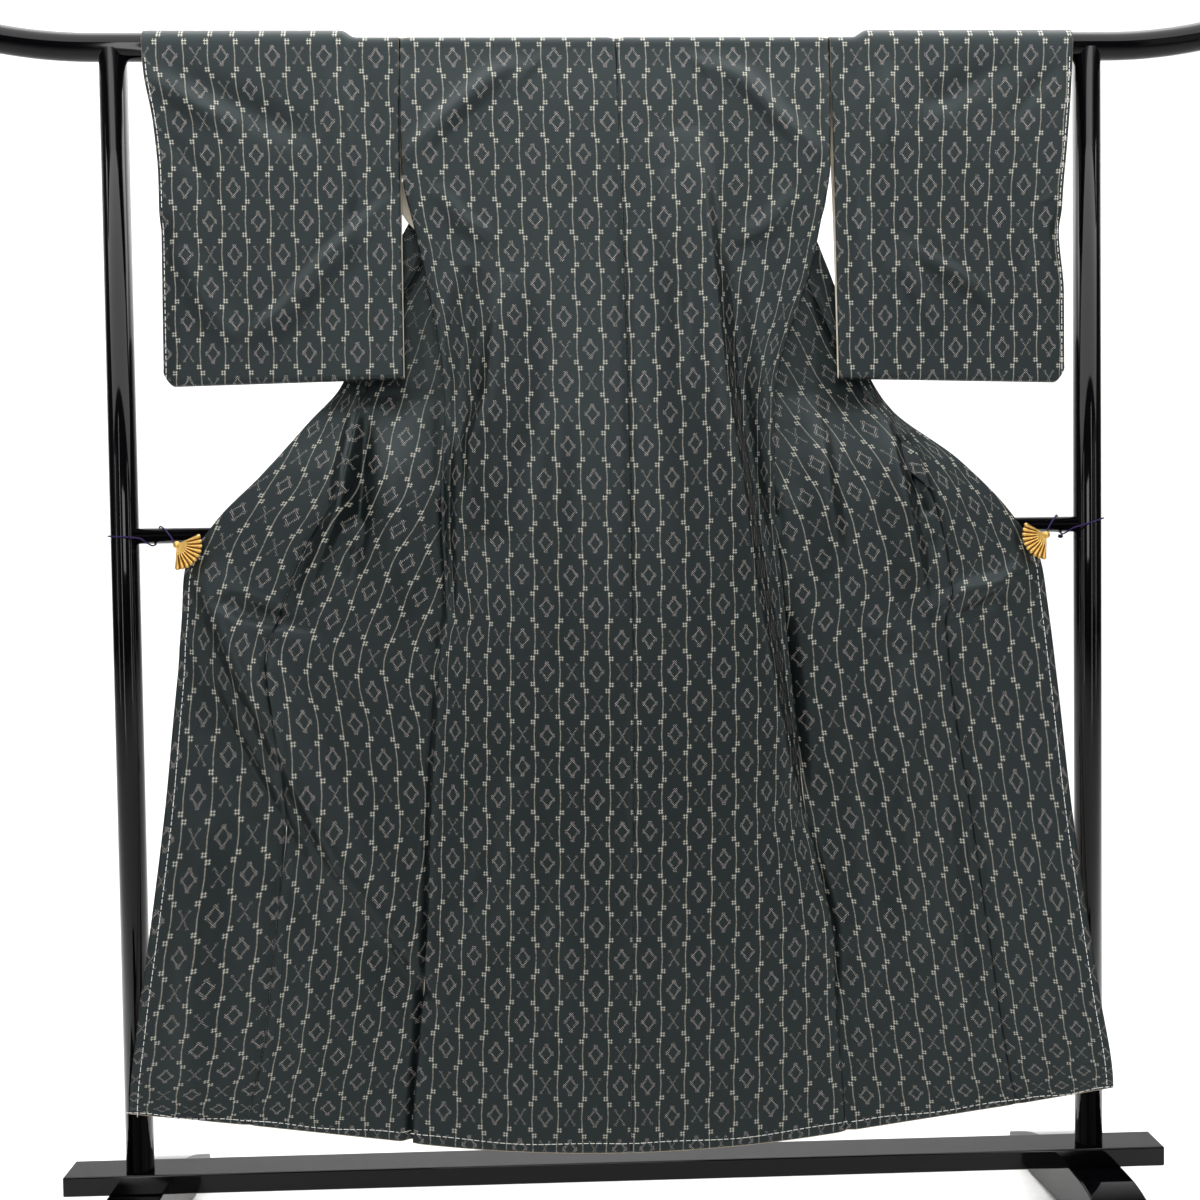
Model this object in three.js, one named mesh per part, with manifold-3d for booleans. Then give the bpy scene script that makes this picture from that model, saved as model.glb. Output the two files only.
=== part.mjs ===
// A lined silk kimono hung on a lacquered display stand, seen from its back.
// Millimetres, +Z up, the floor at Z 0. The kimono's back faces -Y and its fronts hang on the +Y side
// of the rail; the skirt is opened sideways and two fan clips hold its front edges at the crossbar.
import * as THREE from "three";
import { mergeVertices } from "three/addons/utils/BufferGeometryUtils.js";
import Module from "manifold-3d";

const wasm = await Module();
wasm.setup();

const GAP = 0.3; // left between neighbouring pieces

// ---- Stand ----
const POST_SPACING = 1360;
const TUBE_RADIUS = 19;
const TUBE_SIDES = 24;
const RAIL_HEIGHT = 1677;
const RAIL_MIDDLE_RADIUS = 10.5;
const RAIL_JOINT = 372; // from the middle to where the thick tubes of the rail begin
const RAIL_BEND_START = 705; // from the middle to where the ends begin to turn up
const RAIL_BEND_RADIUS = 710;
const RAIL_REACH = 925; // from the middle to the tips
const CROSSBAR_HEIGHT = 1003;
const CROSSBAR_RADIUS = 11;
const BEAM_LENGTH = 1560;
const BEAM_DEPTH = 54;
const BEAM_HEIGHT = 28;
const BEAM_UNDERSIDE = 82;
const FOOT_WIDTH = 76;
const FOOT_LENGTH = 460;
const FOOT_TOE = 26; // height of the foot's tips
const FOOT_ARCH = 14; // height of the shallow arch under the foot
const FOOT_PAD = 90; // length that stands on the floor at each tip

// ---- Clips and their cords ----
const FAN_RADIUS = 35;
const FAN_RIBS = 10;
const FAN_SCALLOP = 0.945; // of the radius, where two pleats meet at the rim
const FAN_SPREAD = 2.1; // radians
const FAN_PLATE = 2;
const FAN_BOSS_RADIUS = 4;
const FAN_FRONT = -36; // Y of the fan's front face
const JAW_BACK = -12.6; // Y of the back of the jaw behind the cloth
const JAW_PLATE = 1.2;
const CORD_RADIUS = 1.1;
const CORD_SIDES = 8;
const CORD_STEPS = 44;
const KNOT_RADIUS = 3.2;

// ---- Kimono: the flat cut ----
const CLOTH = 2; // thickness of the lined cloth
const CENTRE = 14; // X of the centre back seam at the hem and the neck
const CENTRE_BOW = 13; // how far that seam drifts sideways at mid height
const LENGTH = 1570; // crown of the shoulder to the hem
const BACK_WIDTH = 300;
const FRONT_WIDTH = 250;
const OKUMI_WIDTH = 150;
const NECK_HALF = 86;
const OKUMI_TIP = 216; // below the crown
const COLLAR_END = 805; // below the crown
const COLLAR_WIDTH = 60;
const COLLAR_STEP = 6; // the collar lies this far behind the front it is folded behind
const COLLAR_SEAM = 3; // between the collar's wall and the edge it is sewn to
const COLLAR_CORNER = 8; // how far the collar cuts the corner where it turns behind the neck
const COLLAR_CLIP_ROOM = 60; // the collar ends this far above the clip
const COLLAR_EASE = 1; // the collar lies this much further off the rail
const ARMHOLE = 190; // the sleeve is sewn to the body for this much, front and back
const OPENING_END = 329; // the side opening runs from the armhole to here, below the crown
const SLEEVE_DEPTH = 490;
const SLEEVE_CORNER = 18;
const CUFF_OPENING = 230;

// ---- Kimono: how it hangs ----
const CROWN_RADIUS = RAIL_MIDDLE_RADIUS + 1.6; // to the middle of the cloth
const WRAP = (Math.PI / 2) * CROWN_RADIUS; // cloth from the crown to the level of the rail's axis
const SIDE_LIFT = 22; // how far the spread raises the hem at the side seam
const OKUMI_LIFT = 50;
const OPENING_SPREAD = { left: 15, right: 6, heights: [1500, 1425] }; // of a front beyond the back

// Places of the seams in the front view: height, across from the centre line.
const SIDE_SEAM = {
  left: [[1677, 300], [1509, 299], [1421, 282], [1371, 271], [1185, 244], [1045, 250], [885, 246],
    [860, 255], [743, 264], [629, 273], [428, 282], [288, 295], [151, 306]],
  right: [[1677, 299], [1509, 297], [1421, 281], [1371, 270], [1185, 216], [1045, 214], [885, 228],
    [743, 242], [698, 246], [619, 252], [521, 272], [429, 291], [328, 294], [151, 305]],
};
const OKUMI_SEAM = {
  left: [[1440, 268], [1300, 330], [1175, 367], [1067, 387], [967, 440], [902, 467], [814, 496],
    [737, 483], [634, 477], [492, 492], [349, 510], [187, 533]],
  right: [[1440, 255], [1300, 300], [1180, 360], [1107, 406], [1008, 445], [907, 463], [856, 457],
    [786, 462], [615, 491], [411, 522], [231, 544], [176, 550]],
};
const FRONT_EDGE = {
  left: [[1677, 86], [1560, 190], [1440, 296], [1366, 330], [1210, 396], [1162, 437], [1086, 501],
    [1017, 567], [954, 607], [883, 613], [748, 627], [637, 639], [476, 661], [315, 685], [201, 697]],
  right: [[1677, 86], [1560, 180], [1420, 284], [1386, 298], [1179, 383], [1096, 480], [1007, 559],
    [954, 591], [890, 601], [781, 614], [612, 632], [503, 646], [337, 670], [201, 689]],
};
// Height of the front edge at each drop below the crown.
const EDGE_HEIGHT = [[19, 1677], [250, 1440], [510, 1210], [COLLAR_END, 954], [LENGTH, 201]];
// Depths (Y) by height: the back, the two layers of a front, and the front edge.
const BACK_DEPTH = [[1677, -12], [1600, -17], [1400, -24], [1003, -26], [600, -27], [120, -31]];
const INNER_LAYER = [[1677, 12], [1600, 17], [1509, 18], [1440, 6], [1371, -19]];
const OUTER_LAYER = [[1677, 18], [1600, 27], [1440, 31], [1225, 31], [1150, 12], [1080, -10], [1030, -19],
  [980, -19], [900, -20], [600, -24], [201, -32]];
const SEAM_STEP = 3; // depth from the middle of the back's wall to the front's, at their side seam
const LAYER_STEP = 5; // how much further behind a front's inner layer lies, and then its next layer
const TURN_RADIUS = 5; // of the fold where a front turns out again behind the back

// Folds of the skirt and back: rise towards -Y (a trough is negative), widths above or left of the path
// and below or right of it, and the path as X, Z. Each fades out towards both its ends.
const FOLDS = [
  { rise: 26, before: 14, after: 44, path: [[-144, 1361], [-168, 1184], [-190, 1132], [-197, 1000]] },
  { rise: -12.5, before: 22, after: 14, path: [[-188, 1370], [-203, 1250], [-214, 1120]] },
  { rise: 20, before: 30, after: 34, path: [[-286, 1190], [-296, 1080], [-300, 960], [-330, 880]] },
  { rise: 28, before: 12, after: 9, path: [[-352, 1200], [-371, 1092], [-376, 1038], [-396, 995], [-440, 895]] },
  { rise: 30, before: 18, after: 30, path: [[-580, 960], [-546, 890], [-519, 823], [-426, 633], [-381, 539], [-264, 383]] },
  { rise: 10, before: 14, after: 24, path: [[-150, 660], [-152, 520], [-184, 470], [-240, 400]] },
  { rise: 10, before: 14, after: 16, path: [[-118, 1660], [-166, 1623], [-227, 1570], [-279, 1512]] },
  { rise: 38, before: 64, after: 13, path: [[123, 1560], [147, 1292], [158, 1180], [176, 1075], [193, 932], [255, 600]] },
  { rise: 10, before: 14, after: 16, path: [[124, 1660], [190, 1624], [229, 1581], [300, 1512]] },
  { rise: 18, before: 24, after: 16, path: [[290, 1190], [300, 1060], [316, 930]] },
  { rise: 24, before: 26, after: 8, path: [[392, 1180], [402, 1083], [418, 1011], [440, 900]] },
  { rise: 16, before: 12, after: 20, path: [[590, 960], [551, 922], [500, 912], [440, 880]] },
  { rise: 14, before: 24, after: 26, path: [[420, 820], [400, 640], [420, 400]] },
  { rise: 14, before: 26, after: 26, path: [[-575, 620], [-590, 420], [-600, 190]] },
];
const SLEEVE_FOLDS = {
  left: [
    { rise: -7, before: 22, after: 18, path: [[-612, 1660], [-520, 1600], [-450, 1565], [-395, 1548]] },
    { rise: 9, before: 14, after: 26, path: [[-296, 1470], [-398, 1376], [-450, 1313], [-505, 1270]] },
  ],
  right: [
    { rise: -7, before: 22, after: 18, path: [[595, 1665], [525, 1636], [475, 1600], [436, 1593]] },
    { rise: 9, before: 14, after: 26, path: [[402, 1408], [492, 1354], [560, 1300]] },
  ],
};
// Outline of each sleeve's cuff: height, X.
const CUFF_EDGE = {
  left: [[1697, 635], [1651, 634], [1564, 621], [1491, 616], [1354, 617], [1200, 618]],
  right: [[1697, 653], [1617, 650], [1535, 644], [1465, 638], [1415, 636], [1327, 643], [1200, 643]],
};
const SLEEVE_SEAM_X = { left: 286, right: 313 };
const SLEEVE_DRIFT = { left: 1, right: 9 }; // how far the sleeve's inner edge leans out at its foot
const SLEEVE_BOTTOM = { left: [1217, 1209], right: [1212, 1204] }; // at the body and at the cuff

// ---- Curves through the tables ----

/** Value at x of a smooth curve through rows of [x, value], held level beyond both ends. */
function along(rows, x) {
  const rising = rows[rows.length - 1][0] > rows[0][0];
  const table = rising ? rows : [...rows].reverse();
  const last = table.length - 1;
  if (x <= table[0][0]) return table[0][1];
  if (x >= table[last][0]) return table[last][1];
  let i = 0;
  while (x > table[i + 1][0]) i += 1;
  const slope = (k) => (table[k + 1][1] - table[k][1]) / (table[k + 1][0] - table[k][0]);
  const tangent = (k) => {
    if (k === 0 || k === last) return 0;
    const [m0, m1] = [slope(k - 1), slope(k)];
    return m0 * m1 <= 0 ? 0 : (2 * m0 * m1) / (m0 + m1);
  };
  const width = table[i + 1][0] - table[i][0];
  const t = (x - table[i][0]) / width;
  const start = tangent(i) * width;
  const end = tangent(i + 1) * width;
  return (2 * t ** 3 - 3 * t ** 2 + 1) * table[i][1] + (t ** 3 - 2 * t ** 2 + t) * start
    + (3 * t ** 2 - 2 * t ** 3) * table[i + 1][1] + (t ** 3 - t ** 2) * end;
}

const unit = (t) => Math.min(1, Math.max(0, t));
const smooth = (t) => {
  const k = unit(t);
  return k * k * (3 - 2 * k);
};

/** How far the folds carry the cloth towards -Y at (x, z). */
function relief(folds, x, z) {
  let total = 0;
  for (const { rise, before, after, path } of folds) {
    let best = Infinity;
    let side = 1;
    let place = 0;
    for (let i = 0; i + 1 < path.length; i += 1) {
      const [x0, z0] = path[i];
      const [dx, dz] = [path[i + 1][0] - x0, path[i + 1][1] - z0];
      const k = Math.min(1, Math.max(0, ((x - x0) * dx + (z - z0) * dz) / (dx * dx + dz * dz)));
      const distance = Math.hypot(x - x0 - k * dx, z - z0 - k * dz);
      if (distance < best) {
        best = distance;
        side = (x - x0) * Math.abs(dz) + (z - z0) * dx * -Math.sign(dz || 1) > 0 ? 1 : -1;
        place = (i + k) / (path.length - 1);
      }
    }
    const width = side > 0 ? after : before;
    total += rise * Math.sin(Math.PI * Math.min(1, Math.max(0, place))) ** 0.7 * Math.exp(-((best / width) ** 2));
  }
  return total;
}

// ---- Solids ----

/** A geometry from vertices and triangles, turned inside out if its volume is negative. */
function solid(points, triangles) {
  let volume = 0;
  for (const [a, b, c] of triangles) {
    volume += points[a].dot(new THREE.Vector3().crossVectors(points[b], points[c]));
  }
  const faces = volume > 0 ? triangles : triangles.map(([a, b, c]) => [a, c, b]);
  const geometry = new THREE.BufferGeometry();
  geometry.setAttribute("position", new THREE.Float32BufferAttribute(points.flatMap((p) => p.toArray()), 3));
  geometry.setIndex(faces.flat());
  geometry.computeVertexNormals();
  return geometry;
}

/** A closed wall between two skins of matching points, rows by columns. */
function wallBetween(outer, inner, ring = false) {
  const rows = outer.length;
  const columns = outer[0].length;
  const points = [...outer.flat(), ...inner.flat()];
  const at = (skin, i, j) => skin * rows * columns + i * columns + (j % columns);
  const triangles = [];
  const quad = (a, b, c, d) => triangles.push([a, b, c], [a, c, d]);
  const steps = ring ? columns : columns - 1;
  for (let i = 0; i + 1 < rows; i += 1) {
    for (let j = 0; j < steps; j += 1) {
      quad(at(0, i, j), at(0, i, j + 1), at(0, i + 1, j + 1), at(0, i + 1, j));
      quad(at(1, i, j), at(1, i + 1, j), at(1, i + 1, j + 1), at(1, i, j + 1));
    }
  }
  for (let j = 0; j < steps; j += 1) {
    quad(at(0, 0, j), at(1, 0, j), at(1, 0, j + 1), at(0, 0, j + 1));
    quad(at(0, rows - 1, j), at(0, rows - 1, j + 1), at(1, rows - 1, j + 1), at(1, rows - 1, j));
  }
  for (let i = 0; !ring && i + 1 < rows; i += 1) {
    quad(at(0, i, 0), at(0, i + 1, 0), at(1, i + 1, 0), at(1, i, 0));
    quad(at(0, i, columns - 1), at(1, i, columns - 1), at(1, i + 1, columns - 1), at(0, i + 1, columns - 1));
  }
  return solid(points, triangles);
}

/** A wall of cloth on a grid of middle points; sewn side borders keep no tilt across the seam. */
function clothWall(grid, sewnSides = true) {
  const lastRow = grid.length - 1;
  const lastColumn = grid[0].length - 1;
  const skins = [[], []];
  grid.forEach((row, i) => {
    const sides = [[], []];
    row.forEach((point, j) => {
      const down = grid[Math.min(i + 1, lastRow)][j].clone().sub(grid[Math.max(i - 1, 0)][j]);
      const across = grid[i][Math.min(j + 1, lastColumn)].clone().sub(grid[i][Math.max(j - 1, 0)]);
      if (sewnSides && (j === 0 || j === lastColumn)) across.set(Math.sign(across.x) || 1, 0, 0);
      if (sewnSides && i === 0) down.set(0, down.y, 0);
      const normal = new THREE.Vector3().crossVectors(down, across).normalize();
      sides[0].push(point.clone().addScaledVector(normal, CLOTH / 2));
      sides[1].push(point.clone().addScaledVector(normal, -CLOTH / 2));
    });
    skins[0].push(sides[0]);
    skins[1].push(sides[1]);
  });
  return wallBetween(skins[0], skins[1]);
}

function toManifold(geometry) {
  const bare = geometry.clone();
  bare.deleteAttribute("normal");
  bare.deleteAttribute("uv");
  const merged = mergeVertices(bare, 1e-4);
  return new wasm.Manifold(new wasm.Mesh({
    numProp: 3,
    vertProperties: new Float32Array(merged.attributes.position.array),
    triVerts: new Uint32Array(merged.index.array),
  }));
}

function fromManifold(manifold) {
  const mesh = manifold.getMesh();
  const geometry = new THREE.BufferGeometry();
  geometry.setAttribute("position", new THREE.BufferAttribute(new Float32Array(mesh.vertProperties), 3));
  geometry.setIndex(new THREE.BufferAttribute(new Uint32Array(mesh.triVerts), 1));
  geometry.computeVertexNormals();
  return geometry;
}

// ---- Kimono ----

const BOW_LENGTH = LENGTH - SIDE_LIFT;
const centreX = (z) => CENTRE + CENTRE_BOW * Math.sin(Math.PI * unit((RAIL_HEIGHT - z) / BOW_LENGTH));
const sign = (side) => (side === "left" ? -1 : 1);

/** Height of a place on a hanging panel, by its drop below the crown and how much its line is raised. */
const heightAt = (drop, lift) => RAIL_HEIGHT - (drop - WRAP) * (1 - lift / (LENGTH - WRAP));

/** Keeps the cloth in front of the crossbar. */
function clearOfBar(y, z) {
  const beyond = Math.max(0, Math.abs(z - CROSSBAR_HEIGHT) - CROSSBAR_RADIUS - 3);
  return Math.min(y, -CROSSBAR_RADIUS - CLOTH - 1 + beyond * 1.4);
}

/** A point over the crown of the rail; face is -1 on the back's side and 1 on the front's. */
function overCrown(x, drop, face, ease = 0) {
  const angle = drop / CROWN_RADIUS;
  const radius = CROWN_RADIUS + ease;
  return new THREE.Vector3(x, face * radius * Math.sin(angle), RAIL_HEIGHT + radius * Math.cos(angle));
}

/** Depth of the back at a place on it. */
function backDepth(x, z) {
  const ease = smooth((RAIL_HEIGHT - z) / 40);
  return clearOfBar(along(BACK_DEPTH, z) - ease * relief(FOLDS, x, z), z);
}

/** A point of a back panel: across is 0 at the centre seam and 1 at the side. */
function backPoint(side, drop, across) {
  const z = heightAt(drop, SIDE_LIFT * across ** 2);
  const edge = along(SIDE_SEAM[side], heightAt(drop, SIDE_LIFT));
  const middle = centreX(z);
  const x = middle + (CENTRE + sign(side) * edge - middle) * across;
  if (drop < WRAP) return overCrown(x, drop, -1);
  return new THREE.Vector3(x, backDepth(x, z), z);
}

/** Flat width of a front at a drop below the crown, without the okumi. */
const frontWidth = (drop) => BACK_WIDTH - NECK_HALF
  + (FRONT_WIDTH - BACK_WIDTH + NECK_HALF) * unit(drop / OKUMI_TIP);
const okumiWidth = (drop) => OKUMI_WIDTH * unit((drop - OKUMI_TIP) / (COLLAR_END - OKUMI_TIP));

/** How far a front's edge stands out beyond the back's along the opening under the sleeve. */
function openingSpread(side, z) {
  const [top, bottom] = OPENING_SPREAD.heights;
  return OPENING_SPREAD[side] * Math.sin(Math.PI * unit((top - z) / (top - bottom))) ** 0.8;
}

/** How one level of a front runs: in behind the back from the side seam, round a turn, and out again. */
function frontLevel(side, drop) {
  const edgeHeight = along(EDGE_HEIGHT, drop);
  const height = heightAt(drop, SIDE_LIFT);
  const start = along(SIDE_SEAM[side], height) + openingSpread(side, height);
  const edge = along(FRONT_EDGE[side], edgeHeight);
  const width = frontWidth(drop);
  const okumi = okumiWidth(drop);
  const seam = okumi > 0 ? Math.min(along(OKUMI_SEAM[side], heightAt(drop, OKUMI_LIFT)), edge - 2) : edge;
  const turn = Math.max(4, (width - (seam - start)) / 2);
  return { start, seam, edge, width, okumi, turn, edgeHeight };
}

/** Depth of the layer of a front that shows, before it is kept clear of the crossbar. */
function shownDepth(x, z) {
  return along(OUTER_LAYER, z) - smooth((1240 - z) / 60) * relief(FOLDS, x, z);
}

/** A point of a front panel or okumi, by its flat distance from the side seam. */
function frontPoint(side, drop, flat) {
  const { start, seam, edge, width, okumi, turn, edgeHeight } = frontLevel(side, drop);
  const path = (w) => start + Math.hypot(w - turn, TURN_RADIUS) - Math.hypot(turn, TURN_RADIUS);
  let out = path(flat) + ((seam - path(width)) * flat) / width;
  if (flat > width) out = seam + ((edge - seam) * (flat - width)) / okumi;
  const x = CENTRE + sign(side) * out;
  if (drop < WRAP) return overCrown(x, drop, 1);
  const z0 = heightAt(drop, SIDE_LIFT);
  const z = z0 + (edgeHeight - z0) * unit((flat - turn) / Math.max(1, width + okumi - turn));
  const behind = backDepth(x, z0) + SEAM_STEP + LAYER_STEP * smooth(flat / 14) * smooth((turn - 3) / 8);
  const inner = drop < OPENING_END ? along(INNER_LAYER, z0) : behind;
  const hidden = Math.max(along(OUTER_LAYER, z), inner + 3.3 * smooth((turn - 3) / 8));
  const passed = smooth((flat - turn) / 14 + 0.5);
  const shown = smooth((flat - 2 * turn - 1) / 18);
  const y = inner + (hidden - inner) * passed;
  return new THREE.Vector3(x, clearOfBar(y + (shownDepth(x, z) - y) * shown, z), z);
}

const range = (steps, from, to) => Array.from({ length: steps + 1 }, (_, i) => from + ((to - from) * i) / steps);
const BODY_DROPS = [GAP / 2, 6, 12, WRAP, 45, 90, 140, ARMHOLE, 235, 280, OPENING_END, 375, 420, 465, 510, 555,
  600, 645, 680, 710, 745, 780, 830, 880, 940, 1010, 1090, 1180, 1280, 1380, 1480, LENGTH];

function backPanel(side) {
  const inset = GAP / 2 / BACK_WIDTH;
  return clothWall(BODY_DROPS.map((drop) => range(13, inset, 1 - inset).map((k) => backPoint(side, drop, k))));
}

/** Flat places across a front, closer together at its turn. */
function frontColumns({ width, turn }) {
  const before = Math.min(turn - Math.min(7, turn * 0.6), width * 0.6);
  const after = Math.min(turn + 7, width * 0.85);
  const end = width - GAP / 2;
  return [...range(3, GAP / 2, before), ...range(4, before, after).slice(1), ...range(8, after, end).slice(1)];
}

function frontPanel(side) {
  return clothWall(BODY_DROPS.map((drop) => frontColumns(frontLevel(side, drop))
    .map((flat) => frontPoint(side, drop, flat))));
}

function okumiPanel(side) {
  const drops = [OKUMI_TIP + 26, ...BODY_DROPS.filter((drop) => drop > OKUMI_TIP + 50)];
  return clothWall(drops.map((drop) => {
    const { width, okumi } = frontLevel(side, drop);
    return range(4, width + GAP / 2, width + okumi).map((flat) => frontPoint(side, drop, flat));
  }));
}

/** A point of the collar along one front edge: distance is from the edge to the collar's free edge. */
function collarPoint(side, drop, distance) {
  const { edge, edgeHeight } = frontLevel(side, drop);
  const lean = 0.95 * smooth(drop / 260);
  const shift = COLLAR_SEAM + distance * Math.sin(lean);
  const corner = (COLLAR_CORNER - COLLAR_SEAM) * (1 - smooth(drop / WRAP));
  const x = CENTRE + sign(side) * (edge - shift - corner);
  const place = drop + distance * Math.cos(lean);
  if (place < WRAP) return overCrown(x, place, 1, COLLAR_EASE);
  const z = Math.min(RAIL_HEIGHT, edgeHeight + (drop < WRAP ? WRAP - drop : 0) - distance * Math.cos(lean));
  const crown = CROWN_RADIUS + COLLAR_EASE + 4 * smooth((place - WRAP) / 20);
  const depth = clearOfBar(along(OUTER_LAYER, z) + COLLAR_STEP, z);
  return new THREE.Vector3(x, crown + (depth - crown) * smooth((drop - WRAP) / 50), z);
}

function collar() {
  const across = [0, 5, 10, 15, 20, 32, 46, COLLAR_WIDTH];
  const drops = [COLLAR_END - COLLAR_CLIP_ROOM, 715, 670, 620, 560, 500, 440, 380, 320, 265, 215, 170, 130, 95, 65, 45, 30, WRAP,
    12, 6, COLLAR_SEAM];
  const slope = (side) => drops.map((drop) => across.map((d) => collarPoint(side, drop, d)));
  const [left, right] = [slope("left"), slope("right").reverse()];
  const [from, to] = [left.at(-1), right[0]];
  const neck = range(6, 0, 1).slice(1, -1).map((k) => from.map((p, j) => p.clone().lerp(to[j], k)));
  return clothWall([...left, ...neck, ...right], false);
}

/** One sleeve: closed sections hung over the rail, from its open inner edge to the cuff. */
function sleeve(side) {
  const [seamX, cuffX] = [SLEEVE_SEAM_X[side], CUFF_EDGE[side][0][1]];
  const stations = [seamX, RAIL_JOINT - 26, RAIL_JOINT - 6, ...range(7, RAIL_JOINT + 20, cuffX)];
  const levels = [0.03, 0.1, 0.2, 0.32, 0.45, 0.58, 0.7, 0.82, 0.92, 0.985];
  const skins = [[], []];
  for (const station of stations) {
    const k = (station - seamX) / (cuffX - seamX);
    const wide = smooth((station - RAIL_JOINT + 26) / 20);
    const radius = CROWN_RADIUS + (TUBE_RADIUS - RAIL_MIDDLE_RADIUS + 0.4) * wide;
    const corner = SLEEVE_CORNER * Math.max(0, (k - 0.95) / 0.05) ** 2;
    const bottom = SLEEVE_BOTTOM[side][0] + k * (SLEEVE_BOTTOM[side][1] - SLEEVE_BOTTOM[side][0]) + corner;
    const closing = smooth((k - 0.93) / 0.07);
    const xAt = (z) => {
      const inner = seamX + GAP / 2 + (SLEEVE_DRIFT[side] * (RAIL_HEIGHT - z)) / SLEEVE_DEPTH;
      return sign(side) * (inner + k * (along(CUFF_EDGE[side], z) - inner));
    };
    const layer = (face) => levels.map((level) => {
      const z = RAIL_HEIGHT - level * (RAIL_HEIGHT - bottom);
      const x = xAt(z);
      const ease = smooth(level * 6);
      const middle = -9 * smooth(level * 1.6);
      const open = radius + (4.5 - radius) * smooth(level * 1.05);
      const sewn = closing * smooth((RAIL_HEIGHT - z - CUFF_OPENING) / 30);
      const folds = relief(SLEEVE_FOLDS[side], x, z) * ease * (face < 0 ? 1 : 0.5) * (1 - sewn);
      return new THREE.Vector3(x, middle + face * (open + (1.6 - open) * sewn) - folds, z);
    });
    const crown = range(8, -Math.PI / 2, Math.PI / 2).map((angle) => {
      const z = RAIL_HEIGHT + radius * Math.cos(angle);
      return new THREE.Vector3(xAt(z), radius * Math.sin(angle), z);
    });
    const tip = new THREE.Vector3(xAt(bottom), -9, bottom);
    const loop = [...layer(-1).reverse(), ...crown, ...layer(1), tip];
    const outward = loop.map((_, j) => {
      const step = loop[(j + 1) % loop.length].clone().sub(loop[(j + loop.length - 1) % loop.length]);
      return new THREE.Vector3(0, -step.z, step.y).normalize();
    });
    [1, -1].forEach((face, s) => skins[s].push(loop.map((p, j) => p.clone().addScaledVector(outward[j], (face * CLOTH) / 2))));
  }
  return wallBetween(skins[0], skins[1], true);
}

// ---- Stand ----

/** A round bar along X between two places. */
function barAcross(radius, from, to, z, sides = TUBE_SIDES) {
  const bar = new THREE.CylinderGeometry(radius, radius, to - from, sides);
  return bar.rotateZ(Math.PI / 2).translate((from + to) / 2, 0, z);
}

function post() {
  const bottom = BEAM_UNDERSIDE + BEAM_HEIGHT + GAP;
  const bar = new THREE.CylinderGeometry(TUBE_RADIUS, TUBE_RADIUS, RAIL_HEIGHT - bottom, TUBE_SIDES);
  bar.rotateX(Math.PI / 2).translate(0, 0, (RAIL_HEIGHT + bottom) / 2);
  return bar;
}

const standingPost = (side) => {
  const shaft = toManifold(post().translate((sign(side) * POST_SPACING) / 2, 0, 0));
  const rail = barAcross(TUBE_RADIUS + GAP, -RAIL_REACH, RAIL_REACH, RAIL_HEIGHT);
  return fromManifold(shaft.subtract(toManifold(rail)));
};

function crossbar() {
  const reach = POST_SPACING / 2;
  let bar = toManifold(barAcross(CROSSBAR_RADIUS, -reach, reach, CROSSBAR_HEIGHT));
  for (const side of [-1, 1]) {
    const shaft = new THREE.CylinderGeometry(TUBE_RADIUS + GAP, TUBE_RADIUS + GAP, 100, TUBE_SIDES);
    shaft.rotateX(Math.PI / 2).translate(side * reach, 0, CROSSBAR_HEIGHT);
    bar = bar.subtract(toManifold(shaft));
  }
  return fromManifold(bar);
}

/** The thick tube of one end of the rail, straight and then turned up. */
function railEnd(side) {
  const sideSign = sign(side);
  class RailCurve extends THREE.Curve {
    getPoint(t, target = new THREE.Vector3()) {
      const out = RAIL_JOINT + GAP + t * (RAIL_REACH - RAIL_JOINT - GAP);
      const beyond = Math.max(0, out - RAIL_BEND_START);
      const rise = RAIL_BEND_RADIUS - Math.sqrt(RAIL_BEND_RADIUS ** 2 - beyond ** 2);
      return target.set(sideSign * out, 0, RAIL_HEIGHT + rise);
    }
  }
  const section = new THREE.Shape().absarc(0, 0, TUBE_RADIUS, 0, 2 * Math.PI);
  return new THREE.ExtrudeGeometry(section, { steps: 16, curveSegments: TUBE_SIDES / 2, extrudePath: new RailCurve() });
}

function foot() {
  const half = FOOT_LENGTH / 2;
  const top = BEAM_UNDERSIDE - GAP;
  const outline = new THREE.Shape();
  outline.moveTo(-half, 0);
  outline.lineTo(-half + FOOT_PAD, 0);
  outline.quadraticCurveTo(0, 2 * FOOT_ARCH, half - FOOT_PAD, 0);
  outline.lineTo(half, 0);
  outline.lineTo(half, FOOT_TOE);
  outline.bezierCurveTo(half - 60, FOOT_TOE + 26, 110, top, 60, top);
  outline.lineTo(-60, top);
  outline.bezierCurveTo(-110, top, -half + 60, FOOT_TOE + 26, -half, FOOT_TOE);
  const plate = new THREE.ExtrudeGeometry(outline, { depth: FOOT_WIDTH, bevelEnabled: false, curveSegments: 10 });
  // The outline's axes are Y and Z; the extrusion runs along X.
  plate.applyMatrix4(new THREE.Matrix4().set(0, 0, 1, -FOOT_WIDTH / 2, 1, 0, 0, 0, 0, 1, 0, 0, 0, 0, 0, 1));
  return plate;
}

// ---- Clips ----
// Each fan opens from its knob towards the cloth; start is the direction of its upper rib.
const CLIPS = {
  left: { knob: [-599, 990], start: 0.45, turn: -1 },
  right: { knob: [608, 988], start: Math.PI - 0.55, turn: 1 },
};

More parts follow.
